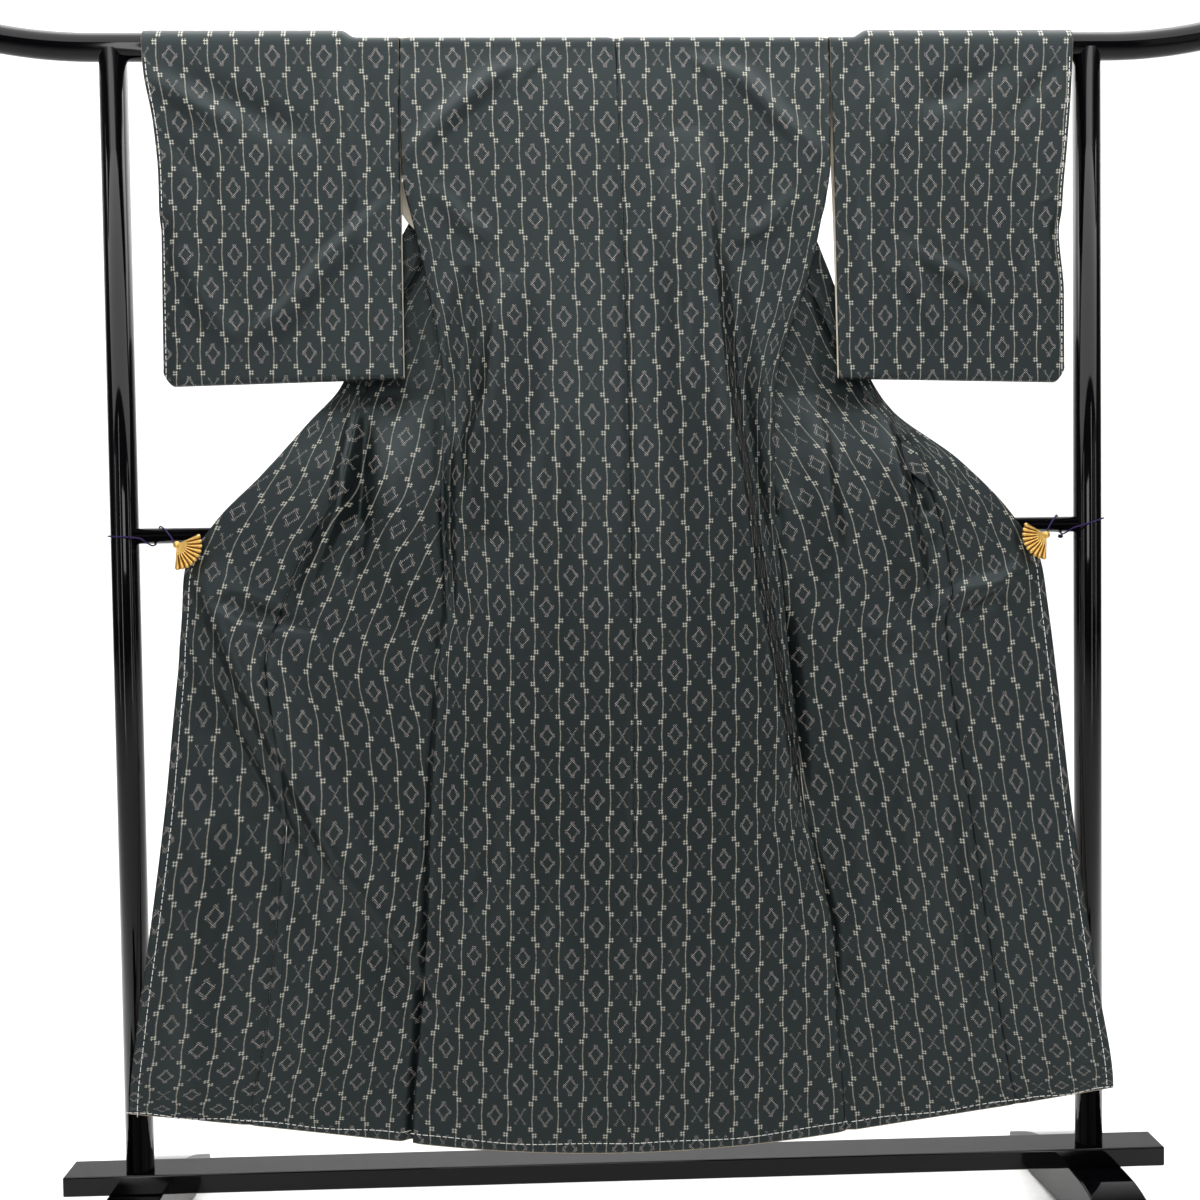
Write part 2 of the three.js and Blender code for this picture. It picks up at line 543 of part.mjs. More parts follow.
/** A plate of the fan's outline, its pleated rim scalloped. */
function fanPlate({ knob, start, turn }, radius, thickness, front) {
  const outline = new THREE.Shape();
  outline.moveTo(0, 0);
  for (let i = 0; i <= 2 * FAN_RIBS; i += 1) {
    const angle = start + (turn * FAN_SPREAD * i) / (2 * FAN_RIBS);
    const reach = radius * (i % 2 === 0 ? FAN_SCALLOP : 1);
    outline.lineTo(reach * Math.cos(angle), reach * Math.sin(angle));
  }
  const plate = new THREE.ExtrudeGeometry(outline, { depth: thickness, bevelEnabled: false });
  return plate.rotateX(Math.PI / 2).translate(knob[0], front + thickness, knob[1]);
}

function clip(side) {
  const { knob } = CLIPS[side];
  const plate = toManifold(fanPlate(CLIPS[side], FAN_RADIUS, FAN_PLATE, FAN_FRONT));
  const jaw = toManifold(fanPlate(CLIPS[side], FAN_RADIUS * 0.6, JAW_PLATE, JAW_BACK - JAW_PLATE));
  const boss = new THREE.CylinderGeometry(FAN_BOSS_RADIUS, FAN_BOSS_RADIUS, JAW_BACK - FAN_FRONT + 2, 16);
  boss.translate(knob[0], (JAW_BACK + FAN_FRONT - 2) / 2, knob[1]);
  return fromManifold(plate.add(jaw).add(toManifold(boss)));
}

// Routes of the cords as X, Y, Z: from the clip's knob, over the crossbar and back under it, then round
// the post and to a knot behind the crossbar.
const CORD_ROUTES = {
  left: [[-604.6, -20, 991], [-609, -18, 997], [-615, -14.5, 1004.5], [-622, -9.6, 1011.6], [-630, -1, 1016.2],
    [-635, 8, 1012.8], [-637, 13.2, 1004], [-639, 10, 993.5], [-642, 0, 989.6], [-646, -10.5, 993],
    [-653, -17.6, 999], [-664, -22, 1001], [-680, -21.8, 1002], [-694, -16.5, 1003], [-701.8, -2, 1003.5],
    [-696, 14, 1003.5], [-681, 21.6, 1003], [-664, 18, 1003], [-652, 15.6, 1003.5], [-646, 15, 1003]],
  right: [[613.6, -20, 989.5], [617, -18, 997], [623, -14.5, 1005.5], [629, -9.6, 1012], [635, -1, 1016.2],
    [640, 8, 1012.8], [642, 13.2, 1004], [643, 10, 993.5], [645, 0, 989.6], [648, -10.5, 993],
    [654, -17.6, 998], [664, -22, 1001], [680, -21.8, 1006], [694, -16.5, 1010], [701.8, -2, 1011],
    [696, 14, 1009], [681, 21.6, 1005], [664, 18, 1000], [653, 15.6, 996], [647, 15, 991]],
};

function cord(side) {
  const curve = new THREE.CatmullRomCurve3(CORD_ROUTES[side].map((p) => new THREE.Vector3(...p)));
  const section = new THREE.Shape().absarc(0, 0, CORD_RADIUS, 0, 2 * Math.PI);
  return new THREE.ExtrudeGeometry(section, { steps: CORD_STEPS, curveSegments: CORD_SIDES / 2, extrudePath: curve });
}

function knot(side) {
  const end = new THREE.Vector3(...CORD_ROUTES[side].at(-1));
  const ball = new THREE.SphereGeometry(KNOT_RADIUS, 12, 8);
  return ball.translate(end.x, end.y, end.z - KNOT_RADIUS - CORD_RADIUS - GAP);
}

// ---- Assembly ----

const material = (color, roughness, metalness = 0) => new THREE.MeshStandardMaterial({ color, roughness, metalness });
const object = new THREE.Group();

function place(name, geometry, look) {
  const mesh = new THREE.Mesh(geometry, look);
  mesh.name = name;
  object.add(mesh);
  return mesh;
}

const silk = () => material(0x2a3234, 0.55);
const lacquer = () => material(0x060607, 0.12);
for (const side of ["left", "right"]) {
  place(`body_back_${side}`, backPanel(side), silk());
  place(`body_front_${side}`, frontPanel(side), silk());
  place(`okumi_${side}`, okumiPanel(side), silk());
  place(`sleeve_${side}`, sleeve(side), silk());
  place(`rail_end_${side}`, railEnd(side), lacquer());
  place(`post_${side}`, standingPost(side), lacquer());
  place(`foot_${side}`, foot(), lacquer()).position.x = (sign(side) * POST_SPACING) / 2;
  place(`fan_clip_${side}`, clip(side), material(0xd9a63c, 0.28, 1));
  place(`cord_${side}`, cord(side), material(0x2a1457, 0.6));
  place(`cord_knot_${side}`, knot(side), material(0x241049, 0.6));
}
place("collar", collar(), silk());
place("rail_middle", barAcross(RAIL_MIDDLE_RADIUS, -RAIL_JOINT, RAIL_JOINT, RAIL_HEIGHT), lacquer());
place("crossbar", crossbar(), lacquer());
const beam = new THREE.BoxGeometry(BEAM_LENGTH, BEAM_DEPTH, BEAM_HEIGHT);
place("base_beam", beam, lacquer()).position.z = BEAM_UNDERSIDE + BEAM_HEIGHT / 2;

export default object;
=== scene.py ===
"""Looks for a lined silk kimono on a lacquered display stand, made on the rigid frame of the part.

Lengths inside the cloth's tables are millimetres in the part's frame: X across, Y depth, Z up. The
kimono's back faces -Y. Every mesh is made in metres.
"""
import math
from collections import namedtuple

import bpy
import numpy as np
from mathutils import Matrix, Vector


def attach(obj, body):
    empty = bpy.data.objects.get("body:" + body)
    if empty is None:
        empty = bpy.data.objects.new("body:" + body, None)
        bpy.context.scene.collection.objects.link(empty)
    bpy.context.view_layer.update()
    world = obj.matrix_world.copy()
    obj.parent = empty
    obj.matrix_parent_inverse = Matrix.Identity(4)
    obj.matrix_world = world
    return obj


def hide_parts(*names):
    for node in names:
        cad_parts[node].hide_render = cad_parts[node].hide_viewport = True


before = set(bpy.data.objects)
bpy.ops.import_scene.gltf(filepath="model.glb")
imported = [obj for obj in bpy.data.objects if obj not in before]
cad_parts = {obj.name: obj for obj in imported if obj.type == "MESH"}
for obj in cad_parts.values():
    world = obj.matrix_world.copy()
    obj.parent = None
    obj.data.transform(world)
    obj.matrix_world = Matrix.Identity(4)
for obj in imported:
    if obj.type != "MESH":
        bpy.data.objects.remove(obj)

bl_info = {
    "name": "Kimono on a stand",
    "version": (1, 0, 0),
    "blender": (4, 5, 0),
    "location": "View3D > Sidebar > Kimono",
    "description": "Silk, seams, basting, cords, fan clips and lacquer for the kimono and its stand",
    "category": "Object",
}

MM = 0.001
SIDES = ("left", "right")

# ---- Sizes shared with the solids ----
RAIL_HEIGHT = 1677.0
RAIL_MIDDLE_RADIUS = 10.5
TUBE_RADIUS = 19.0
RAIL_JOINT = 372.0
RAIL_BEND_START = 705.0
RAIL_BEND_RADIUS = 710.0
RAIL_REACH = 925.0
POST_SPACING = 1360.0
CROSSBAR_HEIGHT = 1003.0
CROSSBAR_RADIUS = 11.0
BEAM = (1560.0, 54.0, 28.0)
BEAM_UNDERSIDE = 82.0
FOOT = {"width": 76.0, "length": 460.0, "toe": 26.0, "arch": 14.0, "pad": 90.0}
CENTRE = 14.0
CENTRE_BOW = 13.0
LENGTH = 1570.0
BACK_WIDTH = 300.0
FRONT_WIDTH = 250.0
OKUMI_WIDTH = 150.0
NECK_HALF = 86.0
OKUMI_TIP = 216.0
COLLAR_END = 805.0
COLLAR_WIDTH = 60.0
COLLAR_STEP = 6.0
COLLAR_SEAM = 0.4
COLLAR_CORNER = 8.0
COLLAR_CLIP_ROOM = 60.0
OPENING_END = 329.0
SLEEVE_DEPTH = 490.0
SLEEVE_CORNER = 18.0
CUFF_OPENING = 230.0
CLOTH = 2.0
GAP = 0.3
CROWN_RADIUS = RAIL_MIDDLE_RADIUS + 1.6
WRAP = math.pi / 2 * CROWN_RADIUS
SIDE_LIFT = 22.0
OKUMI_LIFT = 50.0
SEAM_STEP = 3.0
LAYER_STEP = 5.0
TURN_RADIUS = 5.0
ROLL_DEPTH = 2.0
ROLL_REACH = 6.0
# How far a front's edge stands out beyond the back's under the sleeve, and between which heights.
OPENING_SPREAD = {"left": 15.0, "right": 6.0}
OPENING_SPREAD_TOP = 1500.0
OPENING_SPREAD_FOOT = 1425.0

SIDE_SEAM = {
    "left": [(1677, 300), (1509, 299), (1421, 282), (1371, 271), (1185, 244), (1045, 250), (885, 246),
             (860, 255), (743, 264), (629, 273), (428, 282), (288, 295), (151, 306)],
    "right": [(1677, 299), (1509, 297), (1421, 281), (1371, 270), (1185, 216), (1045, 214), (885, 228),
              (743, 242), (698, 246), (619, 252), (521, 272), (429, 291), (328, 294), (151, 305)],
}
OKUMI_SEAM = {
    "left": [(1440, 268), (1300, 330), (1175, 367), (1067, 387), (967, 440), (902, 467), (814, 496),
             (737, 483), (634, 477), (492, 492), (349, 510), (187, 533)],
    "right": [(1440, 255), (1300, 300), (1180, 360), (1107, 406), (1008, 445), (907, 463), (856, 457),
              (786, 462), (615, 491), (411, 522), (231, 544), (176, 550)],
}
FRONT_EDGE = {
    "left": [(1677, 86), (1560, 190), (1440, 296), (1366, 330), (1210, 396), (1162, 437), (1086, 501),
             (1017, 567), (954, 607), (883, 613), (748, 627), (637, 639), (476, 661), (315, 685), (201, 697)],
    "right": [(1677, 86), (1560, 180), (1420, 284), (1386, 298), (1179, 383), (1096, 480), (1007, 559),
              (954, 591), (890, 601), (781, 614), (612, 632), (503, 646), (337, 670), (201, 689)],
}
EDGE_HEIGHT = [(19, 1677), (250, 1440), (510, 1210), (COLLAR_END, 954), (LENGTH, 201)]
BACK_DEPTH = [(1677, -12), (1600, -17), (1400, -24), (1003, -26), (600, -27), (120, -31)]
INNER_LAYER = [(1677, 12), (1600, 17), (1509, 18), (1440, 6), (1371, -19)]
OUTER_LAYER = [(1677, 18), (1600, 27), (1440, 31), (1225, 31), (1150, 12), (1080, -10), (1030, -19),
               (980, -19), (900, -20), (600, -24), (201, -32)]

# Folds as rise towards -Y, width left of (or above) the path, width right of (or below) it, and the path.
FOLDS = [
    (26, 14, 44, [(-144, 1361), (-168, 1184), (-190, 1132), (-197, 1000)]),
    (-12.5, 22, 14, [(-188, 1370), (-203, 1250), (-214, 1120)]),
    (20, 30, 34, [(-286, 1190), (-296, 1080), (-300, 960), (-330, 880)]),
    (28, 12, 9, [(-352, 1200), (-371, 1092), (-376, 1038), (-396, 995), (-440, 895)]),
    (30, 18, 30, [(-580, 960), (-546, 890), (-519, 823), (-426, 633), (-381, 539), (-264, 383)]),
    (10, 14, 24, [(-150, 660), (-152, 520), (-184, 470), (-240, 400)]),
    (10, 14, 16, [(-118, 1660), (-166, 1623), (-227, 1570), (-279, 1512)]),
    (38, 64, 13, [(123, 1560), (147, 1292), (158, 1180), (176, 1075), (193, 932), (255, 600)]),
    (10, 14, 16, [(124, 1660), (190, 1624), (229, 1581), (300, 1512)]),
    (18, 24, 16, [(290, 1190), (300, 1060), (316, 930)]),
    (24, 26, 8, [(392, 1180), (402, 1083), (418, 1011), (440, 900)]),
    (16, 12, 20, [(590, 960), (551, 922), (500, 912), (440, 880)]),
    (14, 24, 26, [(420, 820), (400, 640), (420, 400)]),
    (14, 26, 26, [(-575, 620), (-590, 420), (-600, 190)]),
]
# Smaller creases, which only the cloth's surface has.
CREASES = [
    (-13, 6, 6, [(-226, 1150), (-228, 1010), (-224, 876)]),
    (4, 7, 9, [(-212, 1150), (-214, 1010), (-212, 880)]),
    (-16, 8, 14, [(-346, 1180), (-350, 1060), (-364, 930)]),
    (3, 6, 8, [(-540, 932), (-487, 908), (-456, 897), (-380, 880)]),
    (-12, 8, 16, [(-560, 916), (-490, 886), (-400, 866)]),
    (-18, 34, 14, [(-584, 850), (-544, 740), (-470, 600), (-396, 460)]),
    (-12, 22, 14, [(-340, 440), (-286, 366), (-240, 300)]),
    (3, 10, 12, [(-170, 640), (-196, 520), (-232, 430)]),
    (-15, 8, 22, [(168, 1420), (180, 1240), (190, 1110), (214, 970), (252, 720)]),
    (-14, 12, 26, [(228, 930), (252, 740), (272, 580)]),
    (7, 12, 12, [(84, 1500), (92, 1330), (96, 1170)]),
    (-17, 8, 16, [(418, 1130), (431, 1070), (454, 940)]),
    (-9, 6, 12, [(570, 930), (520, 890), (466, 866)]),
    (3, 8, 9, [(350, 862), (376, 860), (460, 838)]),
    (4, 10, 16, [(178, 446), (243, 421), (307, 423), (360, 437)]),
    (3, 10, 14, [(60, 560), (72, 420), (66, 260)]),
    (-6, 12, 18, [(-80, 520), (-96, 380), (-88, 250)]),
    (6, 14, 18, [(-70, 1180), (-84, 1000), (-78, 820)]),
    (3, 16, 16, [(330, 700), (340, 520), (352, 330)]),
    (-7, 14, 12, [(470, 640), (486, 460), (500, 300)]),
    (3, 14, 14, [(-420, 430), (-430, 320), (-438, 210)]),
    (3, 8, 8, [(-60, 1690), (-110, 1640), (-140, 1600)]),
    (3, 8, 8, [(84, 1690), (130, 1650), (160, 1610)]),
    (6, 14, 12, [(-240, 1480), (-200, 1430), (-150, 1400)]),
    (6, 14, 12, [(262, 1470), (220, 1420), (170, 1400)]),
]
SLEEVE_FOLDS = {
    "left": [(-7, 22, 18, [(-612, 1660), (-520, 1600), (-450, 1565), (-395, 1548)]),
             (9, 14, 26, [(-296, 1470), (-398, 1376), (-450, 1313), (-505, 1270)])],
    "right": [(-7, 22, 18, [(595, 1665), (525, 1636), (475, 1600), (436, 1593)]),
              (9, 14, 26, [(402, 1408), (492, 1354), (560, 1300)])],
}
SLEEVE_CREASES = {
    "left": [(-5, 16, 12, [(-290, 1490), (-345, 1444), (-398, 1394), (-450, 1332), (-510, 1285)]),
             (8, 16, 14, [(-632, 1640), (-560, 1590), (-500, 1560)]),
             (-3, 10, 12, [(-620, 1560), (-560, 1500), (-540, 1440)]),
             (6.5, 18, 14, [(-590, 1400), (-560, 1330), (-520, 1270)]),
             (3, 8, 10, [(-378, 1650), (-372, 1600), (-380, 1540)]),
             (-2.5, 10, 10, [(-330, 1640), (-320, 1560), (-330, 1480)])],
    "right": [(-5, 14, 12, [(402, 1424), (440, 1396), (492, 1368), (562, 1314)]),
              (-4, 12, 10, [(645, 1662), (600, 1612), (560, 1556)]),
              (7, 14, 12, [(400, 1390), (424, 1350), (465, 1262)]),
              (2, 4, 4, [(632, 1470), (616, 1458), (600, 1450)]),
              (6, 14, 13, [(392, 1650), (386, 1590), (396, 1530)]),
              (-3, 12, 10, [(560, 1480), (590, 1400), (580, 1330)]),
              (2.5, 10, 12, [(350, 1630), (345, 1560), (352, 1470)])],
}
CUFF_EDGE = {
    "left": [(1697, 635), (1651, 634), (1564, 621), (1491, 616), (1354, 617), (1200, 618)],
    "right": [(1697, 653), (1617, 650), (1535, 644), (1465, 638), (1415, 636), (1327, 643), (1200, 643)],
}
SLEEVE_SEAM_X = {"left": 286.0, "right": 313.0}
SLEEVE_DRIFT = {"left": 1.0, "right": 9.0}
SLEEVE_BOTTOM = {"left": (1217.0, 1209.0), "right": (1212.0, 1204.0)}

CLIPS = {
    "left": {"knob": (-599.0, 990.0), "start": 0.45, "turn": -1},
    "right": {"knob": (608.0, 988.0), "start": math.pi - 0.55, "turn": 1},
}
FAN_SPREAD = 2.1
FAN_RIBS = 10
FAN_RIB_STEPS = 8
FAN_FRONT = -36.0
JAW_BACK = -12.6
CORD_ROUTES = {
    "left": [(-604.6, -20, 991), (-609, -18, 997), (-615, -14.5, 1004.5), (-622, -9.6, 1011.6),
             (-630, -1, 1016.2), (-635, 8, 1012.8), (-637, 13.2, 1004), (-639, 10, 993.5), (-642, 0, 989.6),
             (-646, -10.5, 993), (-653, -17.6, 999), (-664, -22, 1001), (-680, -21.8, 1002),
             (-694, -16.5, 1003), (-701.8, -2, 1003.5), (-696, 14, 1003.5), (-681, 21.6, 1003),
             (-664, 18, 1003), (-652, 15.6, 1003.5), (-646, 15, 1003)],
    "right": [(613.6, -20, 989.5), (617, -18, 997), (623, -14.5, 1005.5), (629, -9.6, 1012),
              (635, -1, 1016.2), (640, 8, 1012.8), (642, 13.2, 1004), (643, 10, 993.5), (645, 0, 989.6),
              (648, -10.5, 993), (654, -17.6, 998), (664, -22, 1001), (680, -21.8, 1006),
              (694, -16.5, 1010), (701.8, -2, 1011), (696, 14, 1009), (681, 21.6, 1005),
              (664, 18, 1000), (653, 15.6, 996), (647, 15, 991)],
}
CORD_DIAMETER = 2.2
KNOT_DROP = 4.6
STITCH_OFFSET = 0.35
BASTING_GRID_STEP = 12.0
EDGE_BASTING_START = 790.0

# The weave: stripes down the warp, broken by pairs of small crossed marks, with dotted motifs between.
STRIPE_PITCH = 35.0
MARK_PITCH = 44.9
FIRST_MARK = RAIL_HEIGHT - 827.0 + WRAP  # drop of one row of marks
STRIPE_HALF = 0.75
STRIPE_LEAN = -0.05
MARK_PLACE = (2.7, 4.2)
MARK_HALF = 3.5
MARK_THREAD = 1.7
DIAMOND_HALF = (8.2, 11.5)
CROSS_SLOPE = (7.6, 12.6)
CROSS_HALF = 9.4
DOT_PITCH = 1.5
DOT_LIMIT = 0.72
SILK_SPECULAR = 0.36
SILK_TINT = (0.78, 0.93, 0.95, 1.0)
# Material numbers of a cloth piece.
SILK, LINING, FACING = 0, 1, 2
# Across-flat place of the first stripe of each panel, and whether its marks start the other way.
PANEL_STRIPES = {
    "back_left": (33.6, 0), "back_right": (5.0, 1), "front_left": (20.0, 1), "front_right": (24.0, 0),
    "okumi_left": (22.0, 0), "okumi_right": (20.0, 1), "sleeve_left": (14.0, 1), "sleeve_right": (18.0, 0),
    "collar": (30.0, 0),
}


# ---- Curves and folds ----

def along(rows, x):
    """Values at x of a smooth monotone curve through rows of (x, value), held level beyond both ends."""
    table = np.array(sorted(rows), dtype=float)
    xs, ys = table[:, 0], table[:, 1]
    slopes = np.diff(ys) / np.diff(xs)
    tangents = np.zeros(len(xs))
    for k in range(1, len(xs) - 1):
        a, b = slopes[k - 1], slopes[k]
        tangents[k] = 0.0 if a * b <= 0 else 2 * a * b / (a + b)
    x = np.clip(np.asarray(x, dtype=float), xs[0], xs[-1])
    i = np.clip(np.searchsorted(xs, x, side="right") - 1, 0, len(xs) - 2)
    width = xs[i + 1] - xs[i]
    t = (x - xs[i]) / width
    return ((2 * t**3 - 3 * t**2 + 1) * ys[i] + (t**3 - 2 * t**2 + t) * tangents[i] * width
            + (3 * t**2 - 2 * t**3) * ys[i + 1] + (t**3 - t**2) * tangents[i + 1] * width)


def unit(t):
    """t held between 0 and 1."""
    return np.clip(t, 0.0, 1.0)


def smooth(t):
    """A smooth step from 0 to 1."""
    k = unit(t)
    return k * k * (3 - 2 * k)


def relief(folds, x, z):
    """How far the folds carry the cloth towards -Y at (x, z)."""
    total = np.zeros(np.broadcast(x, z).shape)
    for rise, before, after, path in folds:
        best = np.full(total.shape, np.inf)
        side = np.ones(total.shape)
        place = np.zeros(total.shape)
        for i in range(len(path) - 1):
            x0, z0 = path[i]
            dx, dz = path[i + 1][0] - x0, path[i + 1][1] - z0
            k = unit(((x - x0) * dx + (z - z0) * dz) / (dx * dx + dz * dz))
            distance = np.hypot(x - x0 - k * dx, z - z0 - k * dz)
            nearer = distance < best
            turn = -math.copysign(1.0, dz) if dz else -1.0
            facing = np.where((x - x0) * abs(dz) + (z - z0) * dx * turn > 0, 1.0, -1.0)
            best = np.where(nearer, distance, best)
            side = np.where(nearer, facing, side)
            place = np.where(nearer, (i + k) / (len(path) - 1), place)
        width = np.where(side > 0, after, before)
        total += rise * np.sin(math.pi * unit(place)) ** 0.7 * np.exp(-((best / width) ** 2))
    return total


def sign(side):
    """-1 on the left and 1 on the right."""
    return -1.0 if side == "left" else 1.0


def centre_x(z):
    """Place of the centre back seam."""
    return CENTRE + CENTRE_BOW * np.sin(math.pi * unit((RAIL_HEIGHT - z) / (LENGTH - SIDE_LIFT)))


def height_at(drop, lift):
    """Height of a place by its drop below the crown and how much its line is raised."""
    return RAIL_HEIGHT - (drop - WRAP) * (1 - lift / (LENGTH - WRAP))


def clear_of_bar(y, z):
    """Keeps the cloth in front of the crossbar."""
    beyond = np.maximum(0.0, np.abs(z - CROSSBAR_HEIGHT) - CROSSBAR_RADIUS - 3)
    return np.minimum(y, -CROSSBAR_RADIUS - CLOTH - 1 + beyond * 1.4)


def over_crown(drop, face, ease=0.0):
    """(y, z) of cloth over the top of the rail."""
    angle = drop / CROWN_RADIUS
    radius = CROWN_RADIUS + ease
    return face * radius * np.sin(angle), RAIL_HEIGHT + radius * np.cos(angle)


def skirt_relief(x, z):
    """All folds of the back and the skirt."""
    return relief(FOLDS, x, z) + relief(CREASES, x, z)


def back_depth(x, z):
    """Depth of the back at a place on it."""
    ease = smooth((RAIL_HEIGHT - z) / 40)
    return clear_of_bar(along(BACK_DEPTH, z) - ease * skirt_relief(x, z), z)


# ---- Meshes ----

def mesh_object(name, points, faces, materials, uvs=None, kinds=None):
    """A smooth mesh in metres from points in millimetres, with uvs per point and a material per face."""
    mesh = bpy.data.meshes.new(name)
    places = [tuple(p) for p in np.asarray(points, dtype=float) * MM]
    mesh.from_pydata(places, [], [tuple(f) for f in faces])
    for material in materials:
        mesh.materials.append(material)
    if uvs is not None:
        layer = mesh.uv_layers.new(name="Flat")
        loops = np.zeros(len(mesh.loops), dtype=np.int64)
        mesh.loops.foreach_get("vertex_index", loops)
        layer.data.foreach_set("uv", np.asarray(uvs, dtype=np.float32)[loops].ravel())
    if kinds is not None:
        mesh.polygons.foreach_set("material_index", np.asarray(kinds, dtype=np.int32))
    mesh.polygons.foreach_set("use_smooth", [True] * len(mesh.polygons))
    mesh.validate()
    mesh.update()
    obj = bpy.data.objects.new(name, mesh)
    bpy.context.scene.collection.objects.link(obj)
    return obj


def grid_normals(grid, ring):
    """Unit normals of a grid of points, rows down and columns across."""
    down = np.gradient(grid, axis=0)
    if ring:
        across = np.roll(grid, -1, axis=1) - np.roll(grid, 1, axis=1)
    else:
        across = np.gradient(grid, axis=1)
    normal = np.cross(down, across)
    return normal / np.maximum(np.linalg.norm(normal, axis=2, keepdims=True), 1e-9)


def cloth_shell(name, grid, flat, outward, materials, thickness, ring=False, lip=0.0):
    """A two-faced shell on a grid of middle points: silk outside, lining inside, and closed borders.

    flat holds each point's place in the flat cut. outward is 1 or -1 times the grid's own normal. lip
    is how far the lining shows below the last row. The first and last rows' borders take the facing.
    """
    rows, columns = grid.shape[:2]
    normal = grid_normals(grid, ring) * outward
    outer = grid + normal * thickness / 2
    inner = grid - normal * thickness / 2
    if lip:
        fall = grid[-1] - grid[-2]
        fall = fall / np.linalg.norm(fall, axis=1, keepdims=True)
        inner[-1] += fall * lip
    points = np.concatenate([outer.reshape(-1, 3), inner.reshape(-1, 3)])
    uvs = np.concatenate([flat.reshape(-1, 2)] * 2)
    count = rows * columns
    i, j = np.meshgrid(np.arange(rows - 1), np.arange(columns if ring else columns - 1), indexing="ij")
    nxt = (j + 1) % columns
    above, below = i * columns, (i + 1) * columns
    quads = np.stack([above + j, below + j, below + nxt, above + nxt], -1).reshape(-1, 4)
    if outward < 0:
        quads = quads[:, ::-1]
    faces = [quads, quads[:, ::-1] + count]
    kinds = [np.full(len(quads), SILK), np.full(len(quads), LINING)]
    borders = []
    steps = range(columns) if ring else range(columns - 1)
    for k in steps:
        borders.append((k, (k + 1) % columns))
        borders.append(((rows - 1) * columns + (k + 1) % columns, (rows - 1) * columns + k))
    if not ring:
        for k in range(rows - 1):
            borders.append(((k + 1) * columns, k * columns))
            borders.append((k * columns + columns - 1, (k + 1) * columns + columns - 1))
    edge = np.array([(a, b, b + count, a + count) for a, b in borders])
    if outward < 0:
        edge = edge[:, ::-1]
    faces.append(edge)
    ends = 2 * len(steps)
    kinds.append(np.where(np.arange(len(edge)) < ends, FACING, SILK))
    return mesh_object(name, points, np.concatenate(faces).tolist(), materials, uvs, np.concatenate(kinds))


def tube(name, path, radius, sides, material, round_end=0.0):
    """A round tube along a path of points, with closed ends that are rounded over round_end."""
    path = [Vector(p) for p in path]
    if round_end:
        first, last = (path[1] - path[0]).normalized(), (path[-1] - path[-2]).normalized()
        path = [path[0], path[0] + first * round_end * 0.3, path[0] + first * round_end, *path[1:-1],
                path[-1] - last * round_end, path[-1] - last * round_end * 0.3, path[-1]]
    radii = [radius] * len(path)
    if round_end:
        radii[0] = radii[-1] = radius - round_end
        radii[1] = radii[-2] = radius - round_end * 0.3
    points = []
    tangent = (path[1] - path[0]).normalized()
    side = tangent.orthogonal().normalized()
    for k, p in enumerate(path):
        after = path[min(k + 1, len(path) - 1)]
        before = path[max(k - 1, 0)]
        tangent = (after - before).normalized()
        side = (side - tangent * side.dot(tangent)).normalized()
        other = tangent.cross(side)
        for s in range(sides):
            angle = 2 * math.pi * s / sides
            points.append(p + (side * math.cos(angle) + other * math.sin(angle)) * radii[k])
    faces = []
    for k in range(len(path) - 1):
        for s in range(sides):
            t = (s + 1) % sides
            faces.append((k * sides + s, k * sides + t, (k + 1) * sides + t, (k + 1) * sides + s))
    faces.append(tuple(reversed(range(sides))))
    faces.append(tuple((len(path) - 1) * sides + s for s in range(sides)))
    return mesh_object(name, [tuple(p) for p in points], faces, [material])


def curve_points(points, steps):
    """Points evenly spaced in parameter along a Catmull-Rom curve."""
    p = np.array(points, dtype=float)
    padded = np.vstack([2 * p[0] - p[1], p, 2 * p[-1] - p[-2]])
    out = []
    for u in np.linspace(0, len(p) - 1, steps):
        i = min(int(u), len(p) - 2)
        t = u - i
        a, b, c, d = padded[i:i + 4]
        out.append(0.5 * (2 * b + (c - a) * t + (2 * a - 5 * b + 4 * c - d) * t**2
                          + (3 * b - a - 3 * c + d) * t**3))
    return np.array(out)


# ---- Materials ----

